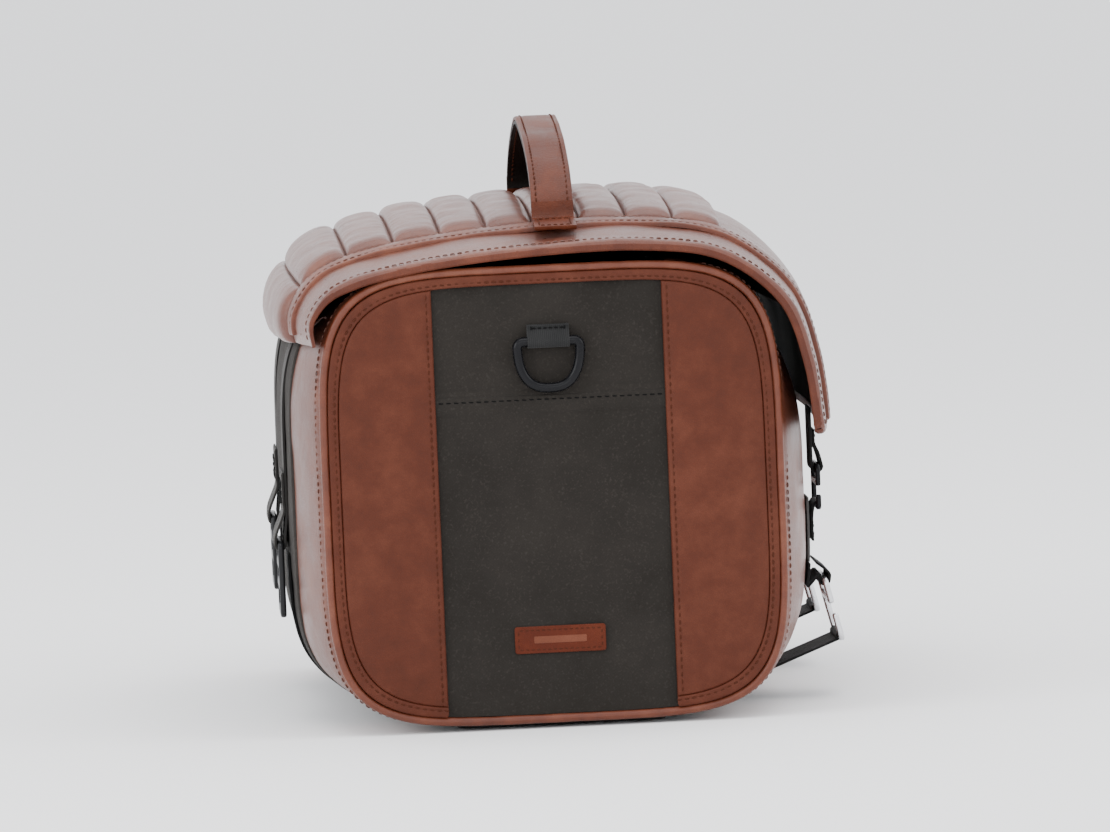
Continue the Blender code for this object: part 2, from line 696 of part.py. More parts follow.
def make_rear_webbing(word, side):
    """Webbing sewn to the rear wall, with the loop that holds the rear hook at its lower end."""
    low, high = sorted((side * (STRAP_Y - STRAP_HALF), side * (STRAP_Y + STRAP_HALF)))
    middle = -GAP - WEB_THICKNESS / 2
    strip = strap_face(*REAR_WEBBING_STATIONS, middle)
    grey_low, grey_high = sorted((side * (STRAP_Y - CLOSURE_HALF), side * (STRAP_Y + CLOSURE_HALF)))
    add_object(f"rear_webbing_{word}", between(band(strip, WEB_THICKNESS), grey_low, grey_high), GREY_WEBBING)

    bar_x, bar_z = HOOK_BAR
    wall = strap_face(*REAR_TAB_STATIONS, middle)
    turn = wall[1]
    wall[1] = (turn[0], turn[1] - 0.002)
    loop = arc((bar_x, bar_z), LOOP_RADIUS, 180, 360)
    line = wall + [(bar_x - LOOP_RADIUS, bar_z + 0.003)] + loop
    line += [(bar_x + LOOP_RADIUS - 0.0004, bar_z + 0.004), (turn[0] + 0.0035, turn[1] + 0.0002)]
    add_object(f"rear_tab_{word}", between(band(line, WEB_THICKNESS), low, high), WEBBING)

    pivot = add_pivot(f"rear_hook_{word}_pivot", (bar_x, side * STRAP_Y, bar_z))
    frame_hardware(
        f"rear_hook_{word}", HOOK_BAR, HOOK_SIZE, HOOK_ROWS, HOOK_OPEN, side, ALUMINIUM, pivot, HOOK_LEAN,
    )


def make_closure(word, side, flap_pivot):
    """Strap and hook on the flap, and the loop on the rear wall that the hook catches."""
    low, high = sorted((side * (STRAP_Y - CLOSURE_HALF), side * (STRAP_Y + CLOSURE_HALF)))
    bar_x, bar_z = CATCH_BAR
    loop = arc((bar_x, bar_z), LOOP_RADIUS, 180, 360)
    line = [(bar_x - LOOP_RADIUS, CLOSURE_TOP_Z), (bar_x - LOOP_RADIUS, bar_z + 0.003)] + loop
    line += [(bar_x, bar_z + 0.009), (bar_x - LOOP_RADIUS + WEB_THICKNESS + GAP, bar_z + 0.014)]
    line += [(bar_x - LOOP_RADIUS + WEB_THICKNESS + GAP, CLOSURE_END_Z)]
    add_object(f"closure_strap_{word}", between(band(line, WEB_THICKNESS), low, high), WEBBING, flap_pivot)

    pivot = add_pivot(f"closure_hook_{word}_pivot", (bar_x, side * STRAP_Y, bar_z), flap_pivot)
    frame_hardware(
        f"closure_hook_{word}", CATCH_BAR, CATCH_SIZE, CATCH_ROWS, HOOK_OPEN, side, BLACK_METAL, pivot,
    )

    catch_z = bar_z - CATCH_SIZE[1] + BAR
    wall_x = strap_face(-1, -1, -GAP - WEB_THICKNESS / 2)[0][0] + WEB_THICKNESS + LAYER_GAP + GAP
    line = [(wall_x, catch_z - CATCH_STRAP_LENGTH), (wall_x, catch_z - 0.007)]
    line += arc((bar_x, catch_z), LOOP_RADIUS, 180, LIP_ANGLE)
    add_object(f"closure_catch_{word}", between(band(line, WEB_THICKNESS), low, high), WEBBING)


def main():
    clear_scene()
    make_walls()
    make_lining()
    make_mouth_bindings()
    make_base_pads()
    make_label()
    flap_pivot = add_pivot("flap_pivot", HINGE)
    make_flap(flap_pivot)
    make_handle(flap_pivot)
    for word, side in (("left", -1), ("right", 1)):
        make_end(word, side)
        make_front_strap(word, side)
        make_under_strap(word, side)
        make_rear_webbing(word, side)
        make_closure(word, side, flap_pivot)


main()
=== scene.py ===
"""Looks of the tail bag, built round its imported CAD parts, in metres."""

import math

import bmesh
import bpy
import numpy as np
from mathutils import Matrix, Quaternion, Vector
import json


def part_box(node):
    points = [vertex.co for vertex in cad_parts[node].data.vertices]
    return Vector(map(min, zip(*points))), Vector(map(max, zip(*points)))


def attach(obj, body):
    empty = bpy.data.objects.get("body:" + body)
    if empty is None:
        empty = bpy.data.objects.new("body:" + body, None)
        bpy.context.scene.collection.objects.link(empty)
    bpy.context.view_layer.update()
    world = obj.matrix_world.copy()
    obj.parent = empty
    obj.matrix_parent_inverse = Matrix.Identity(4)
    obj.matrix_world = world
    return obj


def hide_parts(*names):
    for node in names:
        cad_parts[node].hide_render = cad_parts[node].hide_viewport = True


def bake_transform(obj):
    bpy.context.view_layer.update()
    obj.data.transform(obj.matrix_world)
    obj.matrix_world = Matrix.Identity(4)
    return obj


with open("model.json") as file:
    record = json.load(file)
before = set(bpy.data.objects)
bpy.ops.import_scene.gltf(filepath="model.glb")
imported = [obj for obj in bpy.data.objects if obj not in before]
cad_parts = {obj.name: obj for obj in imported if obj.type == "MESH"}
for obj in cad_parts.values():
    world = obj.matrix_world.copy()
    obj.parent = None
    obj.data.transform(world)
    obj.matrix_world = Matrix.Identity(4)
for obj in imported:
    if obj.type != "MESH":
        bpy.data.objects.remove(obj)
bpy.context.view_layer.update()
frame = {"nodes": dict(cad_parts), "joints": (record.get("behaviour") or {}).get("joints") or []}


# ---------------------------------------------------------------- measures of the bag

def low(node):
    return np.array(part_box(node)[0])


def high(node):
    return np.array(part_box(node)[1])


def half_width(node):
    return (high(node)[1] - low(node)[1]) / 2


def joint_at(name):
    return next(j for j in frame["joints"] if j["name"] == name)["pos_m"]


PIPE_LOW = low("piping_right")
PIPE_HIGH = high("piping_right")
HALF_X = (PIPE_HIGH[0] - PIPE_LOW[0]) / 2
HALF_Z = (PIPE_HIGH[2] - PIPE_LOW[2]) / 2
CENTRE_Z = (PIPE_HIGH[2] + PIPE_LOW[2]) / 2
SQUARENESS = 5.0
WALL_Y = high("front_wall")[1]
FRONT_BULGE = -low("front_wall")[0] - HALF_X
REAR_BULGE = high("rear_wall")[0] - HALF_X
BULGE_Z = 0.115  # height at which the walls bulge most
REAR_REACH = 0.115
FRONT_UP = 0.140
FRONT_DOWN = 0.105
SIDES = (("left", -1), ("right", 1))

FLAP_LINE = np.array((
    (-0.1345, 0.2235), (-0.1350, 0.2400), (-0.1180, 0.2580), (-0.0750, 0.2690), (-0.0100, 0.2755),
    (0.0550, 0.2765), (0.1020, 0.2685), (0.1370, 0.2410), (0.1510, 0.2030), (0.1560, 0.1610),
))
FLAP_SPAN = 0.5 / 24  # share of the line either side of a point that gives its slope
FLAP_EDGE = high("flap_border_right")[1]
FLAP_CROWN = 0.014
FLAP_CORNER = 0.013
RIB_Y = high("flap_rib_panel")[1]
RIB_SHARE = 16 / 24
RIB_COUNT = 10
RIB_HEIGHT = 0.0065

SOFT_EDGE = 0.0006  # radius of the rim of thin leather
rng = np.random.default_rng(7)


def outline(angle, inset=0.0):
    """x and z on the rounded square section of the bag, some way inside its outer face."""
    half_x = HALF_X - inset
    half_z = HALF_Z - inset
    across = np.abs(np.cos(angle) / half_x) ** SQUARENESS
    up = np.abs(np.sin(angle) / half_z) ** SQUARENESS
    reach = (across + up) ** (-1 / SQUARENESS)
    return reach * np.cos(angle), CENTRE_Z + reach * np.sin(angle)


def inset_of(x, z):
    """How far a point of the section is inside the outline, about."""
    share = np.abs(x / HALF_X) ** SQUARENESS + np.abs((z - CENTRE_Z) / HALF_Z) ** SQUARENESS
    return (1 - share ** (1 / SQUARENESS)) * HALF_X


def bulged(x, y, z):
    """x of a point of the section once its wall bulges, most in the middle of the bag."""
    rise = z - BULGE_Z
    reach = np.where(rise > 0, FRONT_UP, FRONT_DOWN)
    front = FRONT_BULGE * np.clip(1 - (rise / reach) ** 6, 0, None) ** 1.5
    rear = REAR_BULGE * np.clip(1 - (rise / REAR_REACH) ** 4, 0, None) ** 2
    most = np.where(x < 0, front, rear)
    return x + np.sign(x) * most * np.clip(1 - (y / WALL_Y) ** 4, 0, None)


def xyz(x, y, z):
    """Points from their coordinates, any of which may be the same for all."""
    return np.stack(np.broadcast_arrays(x, y, z), -1)


def wall(angle, y, depth):
    """Points some depth under the outer face of the walls and base."""
    x, z = outline(angle, depth)
    return xyz(bulged(x, y, z), y, z)


def on_curve(points, share):
    """Points some shares of the way along a Catmull-Rom curve."""
    padded = np.vstack([points[:1], points, points[-1:]])
    spans = len(points) - 1
    along = np.clip(share, 0, 1) * spans
    span = np.minimum(along.astype(int), spans - 1)
    t = (along - span)[..., None]
    p0, p1, p2, p3 = (padded[span + k] for k in range(4))
    square = (2 * p0 - 5 * p1 + 4 * p2 - p3) * t**2
    cube = (3 * p1 - 3 * p2 + p3 - p0) * t**3
    return 0.5 * (2 * p1 + (p2 - p0) * t + square + cube)


def run_along(points):
    """Distance of each point along a path."""
    return np.concatenate([[0], np.cumsum(np.linalg.norm(np.diff(points, axis=0), axis=1))])


def resampled(points, count):
    """Evenly spaced points along a path."""
    run = run_along(points)
    even = np.linspace(0, run[-1], count)
    return np.stack([np.interp(even, run, column) for column in points.T], -1)


def rounded_corner(share, y):
    """Draws the flap's square grid in at its two free corners, so that their outline is round."""
    run = flap_length(1.0) - FLAP_CORNER
    inner = FLAP_EDGE - FLAP_CORNER
    far = np.clip((flap_length(share) - run) / FLAP_CORNER, 0, 1.2)
    out = np.clip((np.abs(y) - inner) / FLAP_CORNER, 0, 1.2)
    inside = (far > 0) & (out > 0)
    length = run + FLAP_CORNER * far * np.sqrt(1 - out**2 / 2)
    across = inner + FLAP_CORNER * out * np.sqrt(1 - far**2 / 2)
    return np.where(inside, flap_share(length), share), np.where(inside, np.sign(y) * across, y)


def flap(share, y, height):
    """Points some height above the outer face of the flap, a share of the way from its hinge."""
    share, y, height = np.broadcast_arrays(share, y, height)
    share, y = rounded_corner(share, y)
    along = on_curve(FLAP_LINE, share + FLAP_SPAN) - on_curve(FLAP_LINE, share - FLAP_SPAN)
    out = np.stack([-along[..., 1], along[..., 0]], -1)
    out /= np.linalg.norm(out, axis=-1, keepdims=True)
    fall = 1 - 0.25 * np.clip((share - 0.62) / 0.38, 0, None)
    crown = FLAP_CROWN * fall * (1 - (y / FLAP_EDGE) ** 2)
    point = on_curve(FLAP_LINE, share) + out * (crown + height)[..., None]
    return xyz(point[..., 0], y, point[..., 1])


FINE = np.linspace(0, 1, 601)
FLAP_RUN = run_along(on_curve(FLAP_LINE, FINE))


def flap_length(share):
    """Length of the flap's line from the hinge to each share."""
    return np.interp(share, FINE, FLAP_RUN)


def flap_share(length):
    return np.interp(length, FLAP_RUN, FINE)


def ripple(a, b, wavelength, seed, waves=7):
    """A smooth random field of about unit size over two coordinates in metres."""
    dice = np.random.default_rng(seed)
    total = 0.0
    for _ in range(waves):
        turn = dice.uniform(0, math.pi)
        long = wavelength * dice.uniform(0.7, 1.6)
        phase = dice.uniform(0, 2 * math.pi)
        ahead = a * math.cos(turn) + b * math.sin(turn)
        total = total + np.sin(2 * math.pi * ahead / long + phase)
    return total / math.sqrt(waves / 2)


# ---------------------------------------------------------------- meshes

def grid_faces(rows, columns):
    index = np.arange(rows * columns).reshape(rows, columns)
    return np.stack([index[:-1, :-1], index[1:, :-1], index[1:, 1:], index[:-1, 1:]], -1).reshape(-1, 4)


def ring_faces(index):
    """Faces between neighbouring rings of points, given as rows of their numbers."""
    after = np.roll(index, -1, 1)
    return np.stack([index[:-1], index[1:], after[1:], after[:-1]], -1).reshape(-1, 4)


def make_object(name, verts, faces, uv=None, smooth=60):
    mesh = bpy.data.meshes.new(name)
    mesh.from_pydata([tuple(v) for v in verts], [], [tuple(int(k) for k in f) for f in faces])
    if uv is not None:
        layer = mesh.uv_layers.new(name="UVMap")
        corners = np.empty(len(mesh.loops), int)
        mesh.loops.foreach_get("vertex_index", corners)
        layer.data.foreach_set("uv", np.asarray(uv, float)[corners].ravel())
    tidy = bmesh.new()
    tidy.from_mesh(mesh)
    bmesh.ops.recalc_face_normals(tidy, faces=tidy.faces)
    tidy.to_mesh(mesh)
    tidy.free()
    mesh.polygons.foreach_set("use_smooth", [True] * len(mesh.polygons))
    mesh.set_sharp_from_angle(angle=math.radians(smooth))
    made = bpy.data.objects.new(name, mesh)
    bpy.context.scene.collection.objects.link(made)
    return made


def loft(name, rings, smooth=50, closed=False):
    """A solid through rings of points, which closes on itself or has both ends capped."""
    rings = np.array(rings)
    index = np.arange(rings.shape[0] * rings.shape[1]).reshape(rings.shape[:2])
    if closed:
        faces = list(ring_faces(np.vstack([index, index[:1]])))
    else:
        faces = [*ring_faces(index), index[0], index[-1][::-1]]
    return make_object(name, rings.reshape(-1, 3), faces, smooth=smooth)


def slab(name, verts, faces, back, uv=None):
    """A closed piece from a sheet of points and where each lies on the back."""
    count = len(verts)
    edges = {}
    for face in faces:
        for one, other in zip(face, np.roll(face, -1)):
            key = (min(one, other), max(one, other))
            edges[key] = None if key in edges else (one, other)
    rim = [(b, a, a + count, b + count) for a, b in filter(None, edges.values())]
    both = [tuple(f) for f in faces] + [tuple(k + count for k in f[::-1]) for f in faces] + rim
    if uv is not None:
        uv = np.vstack([uv, uv])
    return make_object(name, np.vstack([verts, back]), both, uv)


def spaced(length, edge, step):
    """Distances from 0 to length, close together near both ends for a rounded edge."""
    near = edge * (1 - np.cos(np.linspace(0, math.pi / 2, 4)))
    count = max(2, round((length - 2 * edge) / step) + 1)
    middle = np.linspace(edge, length - edge, count)
    return np.concatenate([near[:-1], middle, (length - near[::-1])[1:]])


def rolled(distance, edge):
    """How far a rounded edge drops at a distance from it, as a share of the edge's radius."""
    off = np.clip(1 - distance / edge, 0, 1)
    return 1 - np.sqrt(1 - off**2)


def strip_slab(name, surface, us, vs, thickness, edge=SOFT_EDGE, fall=None, lengths=None):
    """A slab on a surface(u, v, height), with rounded rims. us and vs are parameters,
    lengths their distances along the surface in metres, and fall a height added to its face."""
    u, v = np.meshgrid(us, vs, indexing="ij")
    su, sv = np.meshgrid(*(lengths or (us, vs)), indexing="ij")
    from_rim = np.minimum.reduce([su - su.min(), su.max() - su, sv - sv.min(), sv.max() - sv])
    top = -rolled(from_rim, edge) * edge
    if fall is not None:
        top = top + fall(su, sv)
    face = surface(u, v, top).reshape(-1, 3)
    back = surface(u, v, np.full_like(u, -thickness)).reshape(-1, 3)
    return slab(name, face, grid_faces(len(us), len(vs)), back, np.stack([sv.ravel(), su.ravel()], -1))


def paint(made, material):
    made.data.materials.clear()
    made.data.materials.append(material)


def finish_piece(made, material, body, *nodes, slot=None):
    paint(made, material)
    if body:
        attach(made, body)
    if nodes:
        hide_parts(*nodes)
    return made


def wavy(points, spacing):
    """A smooth path of evenly spaced points through the given ones."""
    points = np.array(points, float)
    count = max(2, int(run_along(points)[-1] / spacing))
    return resampled(on_curve(points, np.linspace(0, 1, 60 * len(points))), count)


def path_normals(path):
    """Normals of a flat path."""
    along = np.gradient(path, axis=0)
    along /= np.linalg.norm(along, axis=1, keepdims=True)
    return np.stack([-along[:, 1], along[:, 0]], -1)


def along_path(path, offset, u, height):
    """Points at distances u along a flat path, some height off it, as pairs."""
    k = np.clip(np.searchsorted(run_along(path), u - 1e-9), 0, len(path) - 1)
    return path[k] + path_normals(path)[k] * (height + offset)[..., None]


def round_ring(name, path, radius, sides=14):
    """A round section carried along a closed path that lies across the bag's length."""
    along = np.roll(path, -1, 0) - np.roll(path, 1, 0)
    along /= np.linalg.norm(along, axis=1, keepdims=True)
    up = np.cross(along, np.broadcast_to((0.0, 1.0, 0.0), along.shape))
    up /= np.linalg.norm(up, axis=1, keepdims=True)
    side = np.cross(up, along)
    turn = np.linspace(0, 2 * math.pi, sides, endpoint=False)[None, :, None]
    size = np.broadcast_to(radius, (len(path),))[:, None, None]
    ring = up[:, None] * np.cos(turn) + side[:, None] * np.sin(turn)
    return loft(name, path[:, None] + size * ring, 80, closed=True)


class Stitches:
    """Rows of thread gathered into one piece. A stitch is six rings of six points: where they
    lie along it, how thick it is there and how deep it dips into the leather."""

    ALONG = np.array((-1.0, -0.86, -0.45, 0.45, 0.86, 1.0))
    THICK = np.array((0.35, 0.75, 1.0, 1.0, 0.75, 0.35))
    DIP = np.array((-1.3, -0.55, 0.0, 0.0, -0.55, -1.3))

    def __init__(self):
        self.verts = []
        self.faces = []
        self.count = 0

    def row(self, path, normals, pitch=0.0042, length=0.0029, radius=0.00042):
        path = np.array(path, float)
        normals = np.broadcast_to(np.array(normals, float), path.shape)
        run = run_along(path)
        number = max(1, int(run[-1] / pitch))
        middles = (np.arange(number) + 0.5) * run[-1] / number

        def at(where, values):
            return np.stack([np.interp(where, run, column) for column in values.T], -1)

        centre = at(middles, path)
        normal = at(middles, normals)
        along = at(middles + length / 2, path) - at(middles - length / 2, path)
        along /= np.linalg.norm(along, axis=1, keepdims=True)
        normal -= along * (normal * along).sum(1, keepdims=True)
        normal /= np.linalg.norm(normal, axis=1, keepdims=True)
        side = np.cross(along, normal)
        along = along + side * rng.normal(0.06, 0.05, (number, 1))
        turn = np.linspace(0, 2 * math.pi, 6, endpoint=False)
        reach = self.ALONG[None, :, None, None] * along[:, None, None] * length / 2
        lift = (self.DIP * radius + radius * 0.25)[None, :, None, None] * normal[:, None, None]
        ring = np.cos(turn)[None, None, :, None] * normal[:, None, None]
        ring = ring + np.sin(turn)[None, None, :, None] * side[:, None, None] * 1.15
        ring = ring * (self.THICK * radius)[None, :, None, None]
        verts = (centre[:, None, None] + reach + lift + ring).reshape(-1, 3)
        loops = np.arange(36).reshape(6, 6)
        starts = self.count + 36 * np.arange(number)
        self.faces += [tuple(q) for q in (starts[:, None, None] + ring_faces(loops)[None]).reshape(-1, 4)]
        for cap in (loops[0][::-1], loops[-1]):
            self.faces += [tuple(c) for c in starts[:, None] + cap[None]]
        self.verts.append(verts)
        self.count += 36 * number

    def piece(self, name, material, body):
        made = make_object(name, np.vstack(self.verts), self.faces, smooth=80)
        return finish_piece(made, material, body)


def end_sheet(inset, step=0.004, roll=0.0012):
    """Concentric rings of points over the end of the bag, as a bmesh in x and z."""
    near = inset + roll * (1 - np.cos(np.linspace(0, math.pi / 2, 4)))
    rings = np.concatenate([near, np.arange(inset + roll + 0.0012, inset + 0.006, 0.0012)])
    rings = np.concatenate([rings, np.arange(rings[-1] + step, HALF_Z - step, step)])
    angles = np.linspace(0, 2 * math.pi, 192, endpoint=False)
    sheet = bmesh.new()
    loops = []
    for ring in rings:
        x, z = outline(angles, ring)
        loops.append([sheet.verts.new((a, 0.0, c)) for a, c in zip(x, z)])
    for one, other in zip(loops, loops[1:]):
        for k in range(len(one)):
            sheet.faces.new((one[k - 1], one[k], other[k], other[k - 1]))
    hub = sheet.verts.new((0.0, 0.0, CENTRE_Z))
    for k in range(len(loops[-1])):
        sheet.faces.new((loops[-1][k - 1], loops[-1][k], hub))
    return sheet


def cut(sheet, axis, value, keep=0):
    """Splits the sheet along a line, and drops the part below (1) or above (-1) it."""
    point = [0.0, 0.0, 0.0]
    normal = [0.0, 0.0, 0.0]
    point[axis] = value
    normal[axis] = 1.0
    parts = sheet.verts[:] + sheet.edges[:] + sheet.faces[:]
    bmesh.ops.bisect_plane(
        sheet, geom=parts, plane_co=point, plane_no=normal, dist=1e-6,
        clear_inner=keep > 0, clear_outer=keep < 0,
    )


def end_plate(name, sheet, side, back_y, face_y, height):
    """A slab over part of the end, its face raised or dropped by height(x, z)."""
    sheet.verts.index_update()
    verts = np.array([v.co for v in sheet.verts])
    faces = [tuple(v.index for v in f.verts) for f in sheet.faces]
    sheet.free()
    face = verts.copy()
    face[:, 1] = side * (face_y + height(verts[:, 0], verts[:, 2]))
    back = verts.copy()
    back[:, 1] = side * back_y
    return slab(name, face, faces, back, verts[:, [0, 2]])


def filleted(points, radii, steps=5):
    """A closed polygon with each corner rounded by its radius."""
    made = []
    count = len(points)
    for k, corner in enumerate(points):
        corner = np.array(corner, float)
        before = np.array(points[k - 1], float) - corner
        after = np.array(points[(k + 1) % count], float) - corner
        long_before, long_after = np.linalg.norm(before), np.linalg.norm(after)
        a, b = before / long_before, after / long_after
        radius = radii[k] if np.ndim(radii) else radii
        half = math.acos(max(-1, min(1, float(a @ b)))) / 2
        reach = min(radius / math.tan(half), long_before / 2.02, long_after / 2.02)
        radius = reach * math.tan(half)
        centre = corner + (a + b) / np.linalg.norm(a + b) * radius / math.sin(half)
        start = corner + a * reach - centre
        stop = corner + b * reach - centre
        first = math.atan2(start[1], start[0])
        swing = (math.atan2(stop[1], stop[0]) - first + math.pi) % (2 * math.pi) - math.pi
        for turn in first + swing * np.linspace(0, 1, steps + 1):
            made.append(centre + radius * np.array((math.cos(turn), math.sin(turn))))
    return made


def rectangle(u0, v0, u1, v1, radius):
    return filleted([(u0, v0), (u1, v0), (u1, v1), (u0, v1)], radius)


def pressed_plate(name, contours, thickness, edge, place):
    """A flat plate with holes and rounded edges, put in place by place(u, v, w)."""
    data = bpy.data.curves.new(name, "CURVE")
    data.dimensions = "2D"
    data.fill_mode = "BOTH"
    data.extrude = thickness / 2 - edge
    data.bevel_depth = edge
    data.bevel_resolution = 2
    data.offset = -edge
    for contour in contours:
        spline = data.splines.new("POLY")
        spline.points.add(len(contour) - 1)
        for point, (u, v) in zip(spline.points, contour):
            point.co = (u, v, 0.0, 1.0)
        spline.use_cyclic_u = True
    shape = bpy.data.objects.new(name + "_shape", data)
    bpy.context.scene.collection.objects.link(shape)
    bpy.context.view_layer.update()
    flat = bpy.data.meshes.new_from_object(shape.evaluated_get(bpy.context.evaluated_depsgraph_get()))
    verts = np.array([v.co for v in flat.vertices])
    faces = [tuple(f.vertices) for f in flat.polygons]
    bpy.data.objects.remove(shape)
    placed = np.stack(place(verts[:, 0], verts[:, 1], verts[:, 2]), -1)
    return make_object(name, placed, faces, smooth=50)


# ---------------------------------------------------------------- materials

class Finish:
    """A procedural material round one Principled shader."""

    def __init__(self, name, gloss, **values):
        self.material = bpy.data.materials.new(name)
        self.material.use_nodes = True
        self.tree = self.material.node_tree
        self.shader = self.tree.nodes["Principled BSDF"]
        self.shader.inputs["Specular IOR Level"].default_value = gloss
        for key, value in values.items():
            self.shader.inputs[key.replace("_", " ")].default_value = value

    def node(self, kind, links=None, **values):
        made = self.tree.nodes.new("ShaderNode" + kind)
        for key, value in values.items():
            if hasattr(made, key):
                setattr(made, key, value)
            else:
                made.inputs[key.replace("_", " ")].default_value = value
        for key, source in (links or {}).items():
            self.tree.links.new(source, made.inputs[key])
        return made

    def coords(self, kind="Object", scale=None):
        source = self.node("TexCoord").outputs[kind]
        if scale is None:
            return source
        return self.node("Mapping", {"Vector": source}, Scale=scale).outputs["Vector"]

    def noise(self, vector, scale, detail=3.0, rough=0.5):
        made = self.node("TexNoise", {"Vector": vector}, Scale=scale, Detail=detail, Roughness=rough)
        return made.outputs["Fac"]

    def ramp(self, source, stops):
        made = self.node("ValToRGB", {"Fac": source})
        elements = made.color_ramp.elements
        for element, (place, colour) in ((elements[0], stops[0]), (elements[1], stops[-1])):
            element.position = place
            element.color = (*colour, 1.0)
        for place, colour in stops[1:-1]:
            elements.new(place).color = (*colour, 1.0)
        return made.outputs["Color"]

    def maths(self, operation, a, b=None):
        made = self.tree.nodes.new("ShaderNodeMath")
        made.operation = operation
        for socket, value in zip(made.inputs, (a, b)):
            if isinstance(value, (int, float)):
                socket.default_value = value
            elif value is not None:
                self.tree.links.new(value, socket)
        return made.outputs[0]

    def times(self, a, b):
        return self.maths("MULTIPLY", a, b)

    def plus(self, a, b):
        return self.maths("ADD", a, b)

    def wave(self, source, pitch):
        """A sine of a length in metres, one half turn for each pitch."""
        return self.maths("SINE", self.times(source, math.pi / pitch))

    def span(self, source, *limits):
        """Maps one range of values on another, cut off at its ends."""
        made = self.node("MapRange", {"Value": source})
        for key, value in zip(("From Min", "From Max", "To Min", "To Max"), limits):
            made.inputs[key].default_value = value
        return made.outputs["Result"]

    def mix(self, factor, a, b):
        made = self.tree.nodes.new("ShaderNodeMix")
        made.data_type = "RGBA"
        for name, kind, value in (("Factor", "VALUE", factor), ("A", "RGBA", a), ("B", "RGBA", b)):
            socket = next(s for s in made.inputs if s.name == name and s.type == kind)
            if isinstance(value, (int, float)):
                socket.default_value = value
            elif isinstance(value, tuple):
                socket.default_value = (*value, 1.0)
            else:
                self.tree.links.new(value, socket)
        return next(s for s in made.outputs if s.type == "RGBA")

    def colour(self, source):
        self.tree.links.new(source, self.shader.inputs["Base Color"])

    def rough(self, source):
        self.tree.links.new(source, self.shader.inputs["Roughness"])

    def bump(self, height, distance, strength=1.0, under=None):
        made = self.node("Bump", {"Height": height}, Strength=strength, Distance=distance)
        if under is not None:
            self.tree.links.new(under, made.inputs["Normal"])
        self.tree.links.new(made.outputs["Normal"], self.shader.inputs["Normal"])
        return made.outputs["Normal"]


def leather(name, dark, mid, light, rough, coat, gloss, grain=0.00022):
    """Waxed full-grain leather: pebbled grain, fine creases and worn, lighter places."""
    made = Finish(name, gloss, Coat_Weight=coat, Coat_Roughness=0.28, IOR=1.48)
    place = made.coords()
    broad = made.noise(place, 7.0)
    fine = made.noise(place, 60.0, 5.0, 0.65)
    blotch = made.plus(made.times(broad, 0.42), made.times(fine, 0.58))
    tone = made.ramp(blotch, ((0.26, dark), (0.50, mid), (0.75, light)))
    cells = made.node("TexVoronoi", {"Vector": place}, feature="DISTANCE_TO_EDGE", Scale=820.0)
    pits = made.maths("MINIMUM", made.times(cells.outputs["Distance"], 3.2), 1.0)
    made.colour(made.mix(made.span(pits, 0.0, 0.5, 0.30, 0.0), tone, dark))
    creases = made.node(
        "TexVoronoi", {"Vector": made.coords()}, feature="DISTANCE_TO_EDGE", Scale=130.0,
    )
    lines = made.maths("MINIMUM", made.times(creases.outputs["Distance"], 6.0), 1.0)
    made.rough(made.span(fine, 0.3, 0.7, rough - 0.07, rough + 0.09))
    soft = made.bump(made.noise(place, 60.0), 0.0010, 0.35)
    lined = made.bump(lines, 0.00012, 0.35, soft)
    made.bump(pits, grain, 0.55, lined)
    return made.material


def woven(name, dark, light, yarn, plane="XZ", rough=0.85, depth=0.00025, sheen=0.03):
    """Plain-woven cloth, its yarns along two axes of the object."""
    made = Finish(name, 0.08, Sheen_Weight=sheen, Sheen_Roughness=0.5, IOR=1.45)
    place = made.coords()
    apart = made.node("SeparateXYZ", {"Vector": place})
    uneven = made.maths("SUBTRACT", made.noise(place, 240.0, 2.0), 0.5)
    wobble = made.times(uneven, yarn * 0.35)
    first = made.plus(apart.outputs[plane[0]], wobble)
    second = made.plus(apart.outputs[plane[1]], wobble)
    warp = made.wave(first, yarn / 2)
    weft = made.wave(second, yarn / 2)
    crossed = made.times(made.wave(first, yarn), made.wave(second, yarn))
    over = made.span(crossed, -0.2, 0.2, 0.0, 1.0)
    under = made.maths("SUBTRACT", 1.0, over)
    height = made.plus(
        made.times(over, made.maths("ABSOLUTE", warp)), made.times(under, made.maths("ABSOLUTE", weft)),
    )
    shade = made.noise(place, 25.0, 4.0, 0.6)
    fleck = made.noise(place, 700.0, 2.0)
    tone = made.mix(made.span(height, 0.0, 1.0, 0.15, 0.85), dark, light)
    tone = made.mix(made.span(shade, 0.35, 0.65, 0.0, 0.35), tone, dark)
    pale = tuple(min(1.0, 1.7 * c) for c in light)
    made.colour(made.mix(made.span(fleck, 0.55, 0.75, 0.0, 0.30), tone, pale))
    made.rough(made.span(shade, 0.3, 0.7, rough - 0.06, rough + 0.06))
    made.bump(height, depth, 0.7, made.bump(shade, 0.0008, 0.3))
    return made.material


